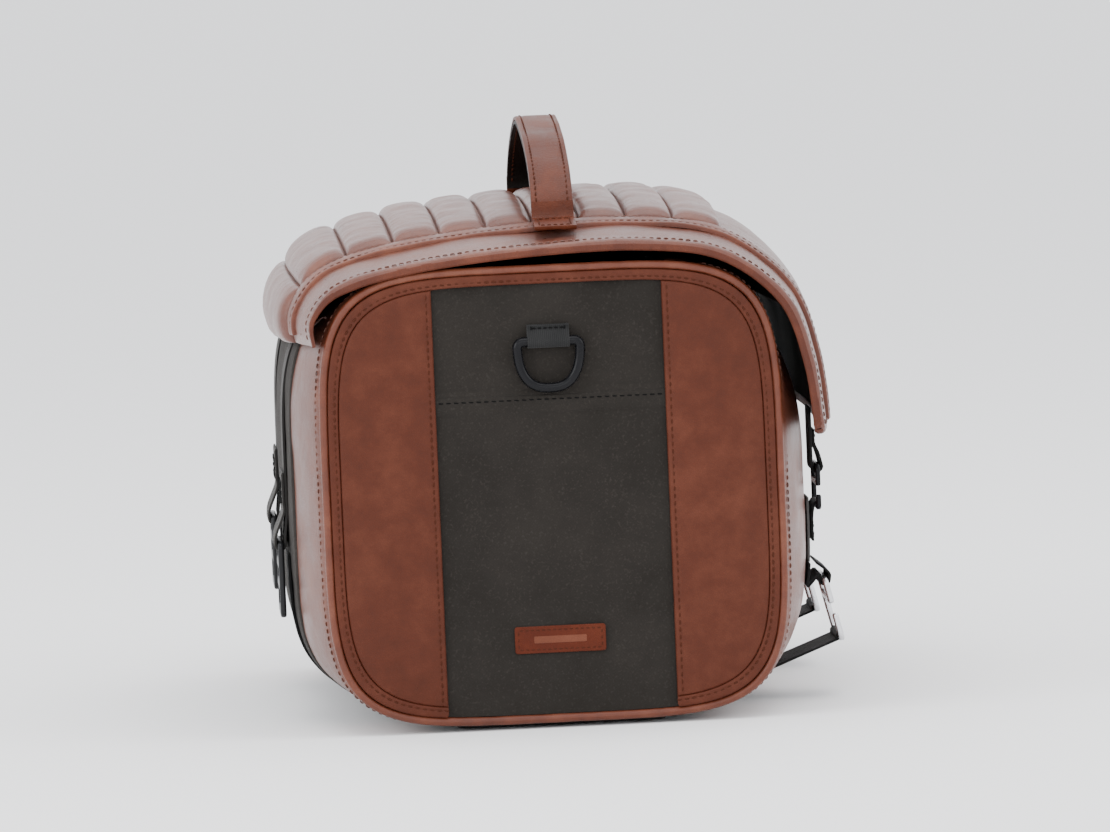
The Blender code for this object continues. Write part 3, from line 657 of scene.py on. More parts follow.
def strap_cloth(name, dark, light):
    """Webbing whose ribs run along the strap, crossed by its weft; the strap carries its own UVs."""
    rib = 0.0011
    made = Finish(name, 0.18, Sheen_Weight=0.06, Sheen_Roughness=0.45)
    apart = made.node("SeparateXYZ", {"Vector": made.coords("UV")})
    across, along = apart.outputs["X"], apart.outputs["Y"]
    turned = made.wave(across, rib)
    ribs = made.maths("ABSOLUTE", turned)
    flip = made.times(made.maths("SIGN", turned), rib * 0.5)
    slant = made.plus(made.plus(along, flip), made.times(made.maths("PINGPONG", across, rib), 0.9))
    picks = made.maths("ABSOLUTE", made.wave(slant, rib * 0.85))
    height = made.times(made.maths("POWER", ribs, 0.6), made.span(picks, 0.0, 1.0, 0.45, 1.0))
    shade = made.noise(made.coords(), 45.0, 4.0)
    tone = made.mix(made.span(height, 0.1, 0.9, 0.0, 1.0), dark, light)
    made.colour(made.mix(made.span(shade, 0.4, 0.7, 0.0, 0.3), tone, dark))
    made.rough(made.span(shade, 0.3, 0.7, 0.72, 0.88))
    made.bump(height, 0.00022, 0.8)
    return made.material


def hard(name, colour, metallic, rough, speck=0.04, brushed=0.0, gloss=0.5):
    """Metal, plastic, rubber or thread with a slightly uneven finish."""
    made = Finish(name, gloss, Metallic=metallic, Coat_Weight=0.0, Coat_Roughness=0.12)
    place = made.coords()
    smear = made.noise(place, 70.0, 4.0, 0.6)
    fine = made.noise(place, 900.0, 3.0, 0.6)
    worn = tuple(c * 0.82 for c in colour)
    made.colour(made.mix(made.span(smear, 0.35, 0.7, 0.0, 1.0), colour, worn))
    broad = made.span(smear, 0.3, 0.7, rough - speck, rough + speck)
    made.rough(made.plus(broad, made.span(fine, 0.3, 0.7, -0.02, 0.03)))
    if brushed:
        lines = made.noise(made.coords("Object", (60.0, 1.0, 60.0)), 40.0, 2.0)
        made.bump(lines, 0.00004, brushed)
    else:
        made.bump(fine, 0.00004, 0.4)
    return made.material


# Leathers: dark, middle and light tones, then roughness, coat and gloss
LEATHER = leather(
    "cognac_leather", (0.043, 0.0092, 0.0037), (0.069, 0.0155, 0.0066), (0.110, 0.031, 0.016),
    0.46, 0.0, 0.16,
)
# The flap and hinge strip are the same cognac leather; the paler, pinker tones here are a painted sheen
# for the glare their tops catch
FLAP_LEATHER_PAINTED_SHEEN = leather(
    "flap_leather", (0.070, 0.0190, 0.0105), (0.104, 0.030, 0.017), (0.180, 0.062, 0.036),
    0.33, 0.26, 0.34,
)
# The front and rear walls are the same cognac leather; the paler, pinker tones here are a painted sheen
# for the glare they catch at a slant
WALL_LEATHER_PAINTED_SHEEN = leather(
    "wall_leather_painted_sheen", (0.066, 0.0175, 0.0090), (0.104, 0.030, 0.016), (0.170, 0.056, 0.030),
    0.36, 0.20, 0.28,
)
PIPE_SKIN = leather(
    "piping_leather", (0.050, 0.0110, 0.0045), (0.110, 0.0260, 0.0110), (0.190, 0.060, 0.030),
    0.36, 0.08, 0.3, 0.00015,
)
HANDLE_SKIN = leather(
    "handle_leather", (0.036, 0.0075, 0.0026), (0.082, 0.0175, 0.0060), (0.145, 0.040, 0.018),
    0.40, 0.02, 0.2,
)
LABEL_SKIN = leather(
    "label_leather", (0.044, 0.0078, 0.0030), (0.074, 0.0135, 0.0050), (0.105, 0.024, 0.010),
    0.46, 0.0, 0.12,
)
LABEL_BAR = leather(
    "label_bar", (0.090, 0.026, 0.013), (0.125, 0.038, 0.020), (0.160, 0.056, 0.032),
    0.52, 0.0, 0.15,
)
EDGE_SKIN = leather(
    "edge_leather", (0.036, 0.0070, 0.0028), (0.078, 0.0170, 0.0068), (0.140, 0.038, 0.018),
    0.42, 0.0, 0.25,
)
# Near-black leather for the handle's under layer: painted shade, standing in for the shadow on the
# handle's inner face
HANDLE_UNDERSIDE_PAINTED_SHADE = leather(
    "black_leather_painted_shade", (0.004, 0.0035, 0.003), (0.008, 0.007, 0.006), (0.014, 0.012, 0.011),
    0.5, 0.0, 0.15,
)

# Cloths: dark and light tones, then the width of a yarn
CANVAS = woven("charcoal_canvas", (0.0090, 0.0078, 0.0066), (0.0300, 0.0262, 0.0228), 0.0013)
CANVAS_SIDE = woven(
    "charcoal_canvas_front", (0.016, 0.0145, 0.0130), (0.052, 0.0470, 0.0430), 0.0013, "YZ",
)
LINING, LINING_END = (
    woven(name, (0.003, 0.003, 0.003), (0.009, 0.009, 0.009), 0.0008, plane, 0.8, 0.0001, 0.0)
    for name, plane in (("lining_cloth", "YX"), ("lining_end_cloth", "XZ"))
)
WEBBING = strap_cloth("black_webbing_cloth", (0.005, 0.005, 0.005), (0.020, 0.020, 0.020))
FRONT_WEBBING = strap_cloth("charcoal_webbing_cloth", (0.016, 0.015, 0.014), (0.058, 0.054, 0.050))
GREY_WEBBING = strap_cloth("grey_webbing_cloth", (0.07, 0.07, 0.068), (0.21, 0.21, 0.20))

# Hard and waxed materials: colour, metallic, roughness
ALUMINIUM = hard("satin_aluminium_metal", (0.78, 0.78, 0.80), 1.0, 0.27, brushed=0.35)
BLACK_METAL = hard("black_metal_gloss", (0.005, 0.005, 0.006), 0.0, 0.26, 0.03, gloss=0.14)
BLACK_PLASTIC = hard("black_moulded_plastic", (0.008, 0.008, 0.009), 0.0, 0.34, 0.06, gloss=0.22)
RUBBER = hard("black_coated_rubber", (0.016, 0.016, 0.016), 0.0, 0.62, 0.08)
BOARD = hard("stiffening_board", (0.022, 0.021, 0.020), 0.0, 0.8, 0.05)
THREAD = hard("waxed_thread", (0.056, 0.0150, 0.0070), 0.0, 0.75, gloss=0.1)
PALE_THREAD = hard("pale_thread", (0.095, 0.030, 0.016), 0.0, 0.42)
DARK_THREAD = hard("black_thread", (0.006, 0.006, 0.006), 0.0, 0.8, gloss=0.05)


# ---------------------------------------------------------------- walls, base and lining

def arc_run(angles):
    return run_along(np.stack(outline(angles), -1))


def rounded_angles(first, last):
    """Angles of the section from first to last degrees, close together at both ends."""
    fine = np.radians(np.linspace(first, last, 400))
    run = arc_run(fine)
    return np.interp(spaced(run[-1], SOFT_EDGE, 0.0035), run, fine)


def wall_piece(name, first, last, reach, thickness, wrinkle, seed, depth=0.0):
    """A skin of the tube of walls and base between two angles, wrinkled by a few tenths of mm."""
    angles = rounded_angles(first, last)
    ys = spaced(2 * reach, SOFT_EDGE, 0.0045) - reach

    def surface(angle, y, height):
        tuck = 0.0014 * np.clip((np.abs(y) - WALL_Y + 0.003) / 0.004, 0, None) ** 2
        return wall(angle, y, depth - height + tuck)

    def fall(s, v):
        fade = np.clip(np.minimum(s - s.min(), s.max() - s) / 0.02, 0, 1)
        return fade * wrinkle * (0.75 * ripple(s, v, 0.09, seed) + 0.25 * ripple(s, v, 0.024, seed + 1))

    return strip_slab(name, surface, angles, ys, thickness, fall=fall, lengths=(arc_run(angles), ys))


def wall_skin(name, node, first, last, wrinkle, seed, material, slot):
    made = wall_piece(name, first, last, WALL_Y + 0.0010, 0.0028, wrinkle, seed)
    finish_piece(made, material, "body", node, slot=slot)


def front_cloth():
    """The charcoal canvas down the middle of the front wall, its edges turned in."""
    half = 0.1185
    angles = rounded_angles(138.8, 238)  # from under the hinge strip to under the base
    ys = spaced(2 * half, SOFT_EDGE, 0.0045) - half

    def fall(s, y):
        rim = np.clip((half - np.abs(y)) / 0.006, 0, 1)
        slack = 0.00025 * ripple(s, y, 0.07, 15) + 0.0001 * ripple(s, y, 0.02, 16)
        return rim * slack + 0.0009

    made = strip_slab(
        "front_canvas", lambda a, y, h: wall(a, y, -h - 0.0004), angles, ys, 0.0014, fall=fall,
        lengths=(arc_run(angles), ys),
    )
    finish_piece(made, CANVAS_SIDE, "body", slot="canvas")


wall_skin("front_wall_skin", "front_wall", 118, 240.2, 0.00030, 11, WALL_LEATHER_PAINTED_SHEEN, "leather")
front_cloth()
wall_skin("rear_wall_skin", "rear_wall", -60.2, 62, 0.00042, 21, WALL_LEATHER_PAINTED_SHEEN, "leather")
wall_skin("base_skin", "base_panel", 240.4, 299.6, 0.00012, 31, RUBBER, "rubber")

LINING_Y = high("lining")[1]
tube_lining = wall_piece("lining_tube", 121, 419, LINING_Y, 0.0007, 0.00045, 41, depth=0.0047)
finish_piece(tube_lining, LINING, "body", "lining", slot="lining")
for word, side in SIDES:
    sheet = end_sheet(0.0062)
    cut(sheet, 2, high("lining")[2] - 0.002, -1)
    made = end_plate(
        f"lining_end_{word}", sheet, side, LINING_Y - 0.0006, LINING_Y - 0.0012,
        lambda x, z: -0.0006 - 0.0008 * np.abs(ripple(x, z, 0.07, 43)),
    )
    finish_piece(made, LINING_END, "body", slot="lining")

for word in ("front", "rear"):
    node = f"mouth_binding_{word}"
    (x0, y0, z0), (x1, y1, z1) = low(node), high(node)
    section = np.array(rectangle(x0, z0, x1, z1, 0.0022))
    rings = []
    for y in np.linspace(y0, y1, 60):
        sway = 0.0002 * ripple(np.array(y), np.array(0.0), 0.06, 3)
        rings.append(xyz(section[:, 0] + sway, y, section[:, 1]))
    finish_piece(loft(node + "_tape", rings), LINING, "body", node, slot="lining")

for word in ("left", "middle", "right"):
    node = f"base_pad_{word}"
    (x0, y0, z0), (x1, y1, z1) = low(node), high(node)
    made = pressed_plate(
        f"foot_pad_{word}", [rectangle(x0, y0, x1, y1, 0.008)], z1 - z0, 0.0008,
        lambda u, v, w, middle=(z0 + z1) / 2: (u, v, middle + w),
    )
    finish_piece(made, RUBBER, "body", node, slot="rubber")
for node in ("base_board", "flap_stiffener", "end_core_left", "end_core_right"):
    paint(frame["nodes"][node], BOARD)


# ---------------------------------------------------------------- ends

wall_thread = Stitches()
end_thread = Stitches()
canvas_thread = Stitches()
PIPING = 0.0025  # radius of the piping
PIPE_Y = (PIPE_LOW[1] + PIPE_HIGH[1]) / 2
BORDER_INSET = 0.0056
PANEL_INSET = 0.0109
GROOVE_INSET = 0.0087
FACE_Y = high("end_border_right")[1]
CANVAS_FACE = high("canvas_lower_right")[1]
STRIPE = low("leather_rear_right")[0]
END_THICK = 0.0024  # thickness of the leather on the ends
SEAM_IN = 0.0030  # from the stripe's edge to the row of stitches beside it
HEM_Z = high("canvas_lower_right")[2]


def dent(distance, depth, width):
    """A smooth groove of some depth along the line where distance is zero."""
    return depth * np.exp(-((distance / width) ** 2))


def make_border(word, side):
    """The leather band inside the piping, open at the foot where the canvas reaches the piping."""
    gap = math.degrees(math.atan2(HALF_Z - BORDER_INSET, STRIPE + 0.0010))
    angles = np.radians(np.linspace(-gap, 180 + gap, 330))
    insets = BORDER_INSET - 0.0008 + spaced(0.0060, 0.0010, 0.0007)
    angle, inset = np.meshgrid(angles, insets, indexing="ij")
    x, z = outline(angle, inset)
    x = np.where(z < CENTRE_Z, np.sign(x) * np.maximum(np.abs(x), STRIPE), x)
    rim = np.minimum(inset - insets[0], insets[-1] - inset)
    drop = rolled(rim, 0.0012) * 0.0011
    groove = dent(inset - GROOVE_INSET, 0.00035, 0.0005)
    face = xyz(x, side * (FACE_Y - drop - groove + 0.00015 * ripple(x, z, 0.03, 51)), z)
    back = xyz(x, side * (FACE_Y - END_THICK), z)
    faces = grid_faces(*angle.shape)
    made = slab(f"end_band_{word}", face.reshape(-1, 3), faces, back.reshape(-1, 3))
    finish_piece(made, LEATHER, "body", f"end_border_{word}", slot="leather")
    x, z = outline(np.radians(np.linspace(-gap, 180 + gap, 400)), GROOVE_INSET)
    end_thread.row(xyz(x, side * (FACE_Y - 0.0003), z), (0, side, 0))


def panel_height(side_x):
    """How far the padded leather beside the stripe stands out, over (x, z)."""
    def height(x, z):
        rim = np.minimum(inset_of(x, z) - PANEL_INSET, np.abs(x) - STRIPE)
        seam = dent(np.abs(x) - STRIPE - SEAM_IN, 0.00035, 0.0005)
        full = np.clip(rim / 0.016, 0, 1)
        soft = 0.0011 * (1 - (1 - full) ** 2)
        crease = 0.00030 * ripple(x, z, 0.045, 60 + side_x)
        crease = crease + 0.00012 * ripple(x, z, 0.013, 62 + side_x)
        return soft - rolled(np.clip(rim, 0, None), 0.0012) * 0.0012 - seam + full * crease
    return height


def make_panels(word, side):
    for name, side_x in (("front", -1), ("rear", 1)):
        sheet = end_sheet(PANEL_INSET)
        for offset in (0.0, 0.0002, 0.0006, 0.0012, 0.0024, 0.0030, 0.0036, 0.0050):
            cut(sheet, 0, side_x * (STRIPE + offset), 0 if offset else side_x)
        made = end_plate(
            f"side_panel_{name}_{word}", sheet, side, FACE_Y - END_THICK, FACE_Y, panel_height(side_x),
        )
        finish_piece(made, LEATHER, "body", f"leather_{name}_{word}", slot="leather")
        top = HALF_Z - PANEL_INSET
        zs = np.linspace(CENTRE_Z - top + 0.003, CENTRE_Z + top - 0.003, 120)
        line = xyz(side_x * (STRIPE + SEAM_IN), side * (FACE_Y + 0.0001), zs)
        end_thread.row(line, (0, side, 0))


def make_canvas(word, side):
    """The stripe: a lower cloth whose hem laps over the foot of the upper one."""
    def lower(x, z):
        hem = np.clip((z - HEM_Z + 0.011) / 0.0015, 0, 1)
        edge = np.clip((HEM_Z - z) / 0.0009, 0, 1)
        tight = np.clip((STRIPE - np.abs(x)) / 0.012, 0, 1)
        slack = 0.00045 * ripple(x, z, 0.06, 71) + 0.00012 * ripple(x, z, 0.017, 72)
        return 0.0007 * hem * edge + (1 - hem) * slack * tight

    def upper(x, z):
        tight = np.clip((STRIPE - np.abs(x)) / 0.012, 0, 1) * np.clip((z - HEM_Z) / 0.010, 0, 1)
        return 0.0004 * ripple(x, z, 0.05, 73) * tight - dent(z - HEM_Z - 0.0035, 0.0005, 0.0012)

    reach = STRIPE + 0.0095
    for name, height, keep, offsets in (
        ("lower", lower, -1, (-0.0004, -0.0009, -0.0013, -0.0095, -0.0102, -0.0110)),
        ("upper", upper, 1, (0.0015, 0.0028, 0.0035, 0.0042, 0.0055)),
    ):
        sheet = end_sheet(BORDER_INSET - 0.0004)
        cut(sheet, 0, reach, -1)
        cut(sheet, 0, -reach, 1)
        cut(sheet, 2, HEM_Z, keep)
        for offset in offsets:
            cut(sheet, 2, HEM_Z + offset)
        made = end_plate(
            f"canvas_{name}_cloth_{word}", sheet, side, CANVAS_FACE - 0.0012, CANVAS_FACE, height,
        )
        finish_piece(made, CANVAS, "body", f"canvas_{name}_{word}", slot="canvas")
    line = xyz(np.array((0.001 - STRIPE, STRIPE - 0.001)), side * (CANVAS_FACE + 0.0007), HEM_Z - 0.0028)
    canvas_thread.row(line, (0, side, 0), radius=0.00036)


for word, side in SIDES:
    angles = np.linspace(0, 2 * math.pi, 260, endpoint=False)
    x, z = outline(angles, PIPING)
    path = xyz(x, side * (PIPE_Y + 0.00012 * ripple(x, z, 0.05, 81)), z)
    made = round_ring(f"piping_cord_{word}", path, PIPING * (1 + 0.02 * ripple(x, z, 0.02, 82)))
    finish_piece(made, PIPE_SKIN, "body", f"piping_{word}", slot="piping_leather")
    make_border(word, side)
    make_panels(word, side)
    make_canvas(word, side)
    for first, last in ((125, 239), (-59, 55)):
        angles = np.radians(np.linspace(first, last, 160))
        x, z = outline(angles)
        normal = xyz((x / HALF_X) ** 5, 0.0, ((z - CENTRE_Z) / HALF_Z) ** 5)
        wall_thread.row(wall(angles, side * (WALL_Y - 0.0050), -0.0001), normal)


# ---------------------------------------------------------------- flap

flap_thread = Stitches()
FLAP_LENGTH = float(flap_length(1.0))
RIB_LENGTH = float(flap_length(RIB_SHARE))
RIB_PITCH = RIB_LENGTH / RIB_COUNT
STRIP_OUT = high("seam_strip_right")[1]
STRIP_MIDDLE = (RIB_Y + STRIP_OUT) / 2
STRIP_SEAM = 0.0058  # from the middle of the strip to its two rows of stitches
SEAM_IN_EDGE = 0.0052  # from the flap's edge to its stitches
LAP = 0.0055
PAD_DEPTH = 0.0145
INNER_FACE = 0.0056  # depth of the lining's face under the flap's outer face


def flap_sheet(name, s0, s1, y0, y1, thickness, lift=0.0, fall=None, edge=0.0008, step=0.004):
    """A layer of the flap between two distances from its hinge and two values of y."""
    along = s0 + spaced(s1 - s0, edge, step)
    ys = y0 + spaced(y1 - y0, edge, step)
    return strip_slab(
        name, lambda share, y, height: flap(share, y, height + lift), flap_share(along), ys,
        thickness, edge, fall, lengths=(along, ys),
    )


def sew_flap(s, y, lift, **kind):
    """A row of stitches on the flap, s from its hinge."""
    line = flap(flap_share(s), y, lift)
    flap_thread.row(line, flap(flap_share(s), y, lift + 0.01) - line, **kind)


def border_fall(seed):
    def fall(s, y):
        return 0.00035 * ripple(s, y, 0.07, seed) + 0.00012 * ripple(s, y, 0.02, seed + 1)
    return fall


for word, side in SIDES:
    y0, y1 = sorted((side * (RIB_Y + 0.0015), side * (FLAP_EDGE + 0.0004)))
    made = flap_sheet(
        f"flap_side_{word}", 0.0, FLAP_LENGTH + 0.0002, y0, y1, 0.0022,
        fall=border_fall(90 + side), edge=0.0018,
    )
    finish_piece(made, FLAP_LEATHER_PAINTED_SHEEN, "flap", f"flap_border_{word}", slot="flap_leather")


def rear_fall(s, y):
    near = np.clip((s - s.min()) / 0.012, 0, 1) * np.clip((RIB_Y - np.abs(y)) / 0.012, 0, 1)
    return 0.0016 * near ** 0.6 + near * border_fall(95)(s, y)


made = flap_sheet(
    "flap_rear_skin", RIB_LENGTH + 0.0008, FLAP_LENGTH + 0.0002, -RIB_Y, RIB_Y, 0.0020, fall=rear_fall,
)
finish_piece(made, FLAP_LEATHER_PAINTED_SHEEN, "flap", "flap_rear_panel", slot="flap_leather")


def rib_fall(s, y):
    """Padded ribs across the flap, pinched by the seams between them and by their ends."""
    where = np.clip(s / RIB_PITCH, 0, RIB_COUNT - 1e-6)
    number = where.astype(int)
    across = np.abs(2 * (where - number) - 1)
    tall = 1 + 0.05 * np.sin(number * 2.4 + 1.0) + 0.03 * ripple(s, y, 0.12, 101)
    arch = np.sqrt(np.clip(1 - across**3.2, 0, 1))
    end = np.clip((RIB_Y - np.abs(y)) / 0.013, 0, 1)
    close = (1 - (1 - end) ** 2.6) ** 0.5
    pucker = 0.00035 * ripple(s * 0.25, y, 0.011, 103) * across**2 * (1 - across**6)
    crease = 0.00022 * ripple(s, y, 0.03, 105)
    return 0.0003 + (RIB_HEIGHT * tall * arch + pucker + crease * arch) * close


def rib_rows():
    """Distances along the flap, closest together in the seams between ribs."""
    even = np.linspace(0, 1, 17)
    one = (0.75 * (1 - np.cos(math.pi * even)) / 2 + 0.25 * even)[:-1]
    return np.concatenate([*(k * RIB_PITCH + one * RIB_PITCH for k in range(RIB_COUNT)), [RIB_LENGTH]])


rows = rib_rows()
columns = spaced(2 * RIB_Y, 0.0010, 0.0030) - RIB_Y
near_end = RIB_Y - 0.013 * (1 - np.cos(np.linspace(0.15, 1.5, 7)))
columns = np.unique(np.round(np.concatenate([columns, near_end, -near_end]), 5))
ribs = strip_slab(
    "flap_ribs", flap, flap_share(rows), columns, 0.0018, fall=rib_fall, lengths=(rows, columns),
)
finish_piece(ribs, FLAP_LEATHER_PAINTED_SHEEN, "flap", "flap_rib_panel", slot="flap_leather")
for k in range(1, RIB_COUNT):
    ys = np.linspace(-RIB_Y + 0.010, RIB_Y - 0.010, 160)
    sew_flap(k * RIB_LENGTH / RIB_COUNT, ys, 0.0010, radius=0.0004)


def strip_fall(s, y):
    off = np.abs(np.abs(y) - STRIP_MIDDLE)
    across = np.clip(off / ((STRIP_OUT - RIB_Y) / 2), 0, 1)
    lines = dent(off - STRIP_SEAM, 0.0003, 0.0007)
    return 0.0008 * (1 - across**2) - lines + 0.00015 * ripple(s, y, 0.03, 111)


for word, side in SIDES:
    y0, y1 = sorted((side * (RIB_Y + 0.0004), side * STRIP_OUT))
    made = flap_sheet(
        f"flap_seam_{word}", 0.006, FLAP_LENGTH - 0.004, y0, y1, 0.0024,
        lift=0.0022, fall=strip_fall, step=0.0016,
    )
    finish_piece(made, PIPE_SKIN, "flap", f"seam_strip_{word}", slot="flap_leather")
    for offset in (-STRIP_SEAM, STRIP_SEAM):
        s = np.linspace(0.010, FLAP_LENGTH - 0.008, 200)
        sew_flap(s, side * (STRIP_MIDDLE + offset), 0.0025)


# The turned leather edge of the flap in section: distance out from the flap's edge, and height
EDGE_SECTION = np.array(filleted((
    (-0.0010, -0.0014), (0.0002, -0.0013), (0.0006, -0.0028), (0.0004, -0.0050), (-0.0006, -0.0062),
    (-LAP, -0.0064), (-LAP, -0.0056), (-0.0012, -0.0054), (-0.0006, -0.0046), (-0.0006, -0.0024),
), 0.0005, 2))


def edge_piece(name, place, along):
    """The edge section carried along by place(where, out, height)."""
    made = loft(name, [place(where, *EDGE_SECTION.T) for where in along])
    finish_piece(made, EDGE_SKIN, "flap", slot="flap_leather")


for word, side in SIDES:
    def side_edge(length, out, height, side=side):
        thin = 0.40 + 0.60 * min(1.0, length / 0.045)
        return flap(flap_share(length), side * (FLAP_EDGE + out), height * thin)

    edge_piece(f"flap_edge_{word}", side_edge, np.linspace(0.0, FLAP_LENGTH, 170))
    s = np.linspace(0.004, FLAP_LENGTH - 0.004, 220)
    sew_flap(s, side * (FLAP_EDGE - SEAM_IN_EDGE), 0.0002)


def rear_edge(across, out, height):
    along = flap(1.0, across, 0.0) - flap(0.998, across, 0.0)
    return flap(1.0, across, height) + along / np.linalg.norm(along) * out[:, None]


hem_ys = np.linspace(-FLAP_EDGE + 0.0026, FLAP_EDGE - 0.0026, 150)
edge_piece("flap_edge_rear", rear_edge, hem_ys)
sew_flap(FLAP_LENGTH - SEAM_IN_EDGE, hem_ys, 0.0006)


def smooth_step(share):
    return share * share * (3 - 2 * share)


def lid_pad(s, y):
    """Depth of the foam behind the flap's lining, thickest over the bag's rear upper edge."""
    start, end = 0.46 * FLAP_LENGTH, 0.86 * FLAP_LENGTH
    run = np.clip(np.minimum(s - start, end - s) / 0.045, 0, 1)
    side = np.clip((0.150 - np.abs(y)) / 0.030, 0, 1)
    return PAD_DEPTH * smooth_step(run) * smooth_step(side)


def flap_inside(share, y, height):
    """The flap's inner face, closer to its outer one near the hinge."""
    length = flap_length(share)
    thin = 0.45 + 0.55 * np.clip(length / 0.045, 0, 1)
    return flap(share, y, -(INNER_FACE + height) * thin - lid_pad(length, y))


half = FLAP_EDGE - 0.0020
lining_ys = spaced(2 * half, 0.0004, 0.0060) - half
along = 0.006 + spaced(FLAP_LENGTH - 0.008, 0.0004, 0.005)
under = strip_slab(
    "flap_underside", flap_inside, flap_share(along), lining_ys, 0.0008, 0.0003,
    lambda s, y: 0.00030 * ripple(s, y, 0.05, 121), lengths=(along, lining_ys),
)
finish_piece(under, LINING, "flap", "flap_lining", slot="lining")


# ---------------------------------------------------------------- hinge and handle

STRAP_MIDDLE = 0.080  # y of each strap's middle
HINGE_SEAM = math.radians(139.6)  # where the strip is sewn to the front wall
HINGE_LAP = 0.0075  # how far up the flap it is sewn
CONTROL = np.array((0.0, 0.0, 0.0060))
hinge_reach = WALL_Y - 0.0180
hinge_ys = spaced(2 * hinge_reach, SOFT_EDGE, 0.0040) - hinge_reach
hinge_shares = spaced(1.0, 0.03, 0.05)


def hinge_surface(u, y, height):
    """A Bezier curve from the front wall to the flap, lifted over the front straps."""
    over = np.clip(1 - (np.abs(np.abs(y) - STRAP_MIDDLE) - 0.019) / 0.008, 0, 1)
    foot = wall(HINGE_SEAM, y, 0.0)
    foot[..., 0] -= 0.0006 + 0.0018 * smooth_step(over)
    crest = flap(flap_share(HINGE_LAP), y, 0.0006)
    near = foot + CONTROL - (0.0005, 0.0, 0.0)
    far = crest - CONTROL
    u = u[..., None]
    rest = 1 - u
    point = foot * rest**3 + near * 3 * u * rest**2 + far * 3 * u * u * rest + crest * u**3
    point[..., 0] -= height
    return point


# The strip of leather sewn to the wall and to the flap
hinge = strip_slab(
    "hinge_strip", hinge_surface, hinge_shares, hinge_ys, 0.0011, 0.0005,
    lambda s, y: 0.0002 * ripple(s, y, 0.03, 131), lengths=(hinge_shares * 0.02, hinge_ys),
)
paint(hinge, FLAP_LEATHER_PAINTED_SHEEN)
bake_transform(hinge)

HANDLE_LOW = low("handle_strap")
HANDLE_HIGH = high("handle_strap")
HANDLE_X = (HANDLE_LOW[0] + HANDLE_HIGH[0]) / 2
HANDLE_HALF = (HANDLE_HIGH[0] - HANDLE_LOW[0]) / 2
HANDLE_THICK = 0.0046
HANDLE_REACH = HANDLE_HIGH[1] - HANDLE_THICK / 4
HANDLE_ROUNDNESS = 1.7
HANDLE_SEAM = 0.0030  # from the handle's edges to its stitches
HANDLE_FOOT = joint_at("handle_tilt")[2]
handle_thread = Stitches()


def handle_path(count=130):
    """Middle line of the handle over the flap, as y and z."""
    turn = np.linspace(0, math.pi, count)
    power = 2 / HANDLE_ROUNDNESS
    y = -np.sign(np.cos(turn)) * np.abs(np.cos(turn)) ** power * (HANDLE_REACH - 0.0012)
    top = HANDLE_HIGH[2] - HANDLE_THICK / 2
    z = HANDLE_FOOT + (top - HANDLE_FOOT) * np.sin(turn) ** power
    return resampled(np.stack([y, z], -1), count)


def handle_sway(share, drift=0.0004):
    return drift * np.sin(share * math.pi * 3 + 0.6)


def strap_over(name, path, inner, outer, edge, fall, drift=0.0, side=1):
    """A strap as wide as the handle, whose section stands on a (y, z) path."""
    run = run_along(path)

    def surface(u, v, height):
        point = along_path(path, outer, u, height)
        x = HANDLE_X - HANDLE_HALF + v + handle_sway(u / run[-1], drift)
        return xyz(x, side * point[..., 0], point[..., 1])

    return strip_slab(name, surface, run, spaced(2 * HANDLE_HALF, edge, 0.0022), outer - inner, edge, fall)


def handle_layer(name, inner, outer, seed):
    def fall(s, v):
        lines = dent(np.minimum(v - v.min(), v.max() - v) - HANDLE_SEAM, 0.0003, 0.0006)
        return 0.00018 * ripple(s, v, 0.035, seed) - lines

    return strap_over(name, handle_path(), inner, outer, 0.0009, fall, 0.0004)


def thread_on_handle(offset, up):
    path = handle_path(200)
    out = path_normals(path)
    point = path + out * offset
    for v in (HANDLE_SEAM - HANDLE_HALF, HANDLE_HALF - HANDLE_SEAM):
        x = HANDLE_X + v + handle_sway(np.linspace(0, 1, len(path)))
        line = xyz(x, point[:, 0], point[:, 1])
        normal = xyz(0.0, out[:, 0] * up, out[:, 1] * up)
        handle_thread.row(line[3:-3], normal[3:-3], pitch=0.0045, length=0.0032)


top_layer = handle_layer("handle_top_layer", 0.0001, 0.0023, 141)
# The under layer is near-black: painted shade for the shadow on the handle's inner face
low_layer = handle_layer("handle_under_layer", -0.0023, -0.0001, 143)
thread_on_handle(0.0022, 1)
thread_on_handle(-0.0023, -1)
seam = handle_thread.piece("handle_thread", THREAD, None)
for made, skin in ((top_layer, HANDLE_SKIN), (low_layer, HANDLE_UNDERSIDE_PAINTED_SHADE), (seam, THREAD)):
    paint(made, skin)
    foot, bent = (HANDLE_X, 0, HANDLE_FOOT - 0.001), (HANDLE_X, 0, HANDLE_FOOT + 0.012)
    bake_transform(made)
    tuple(foot)
    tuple(bent)
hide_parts("handle_strap")


def segments(corners, cross=False):
    """Points along each side of a polygon, and along the diagonals of a box with a cross."""
    pairs = list(zip(corners, corners[1:] + corners[:1]))
    if cross:
        pairs += [(corners[0], corners[2]), (corners[1], corners[3])]
    part = np.linspace(0, 1, 30)[:, None]
    return [np.array(one) * (1 - part) + np.array(other) * part for one, other in pairs]


def sewn(thread, corners, normal, pitch, cross=False, length=0.0023, radius=0.00032):
    """A sewn box, with or without a cross, through four corner points in space."""
    for line in segments(corners, cross):
        thread.row(line, normal, pitch=pitch, length=length, radius=radius)


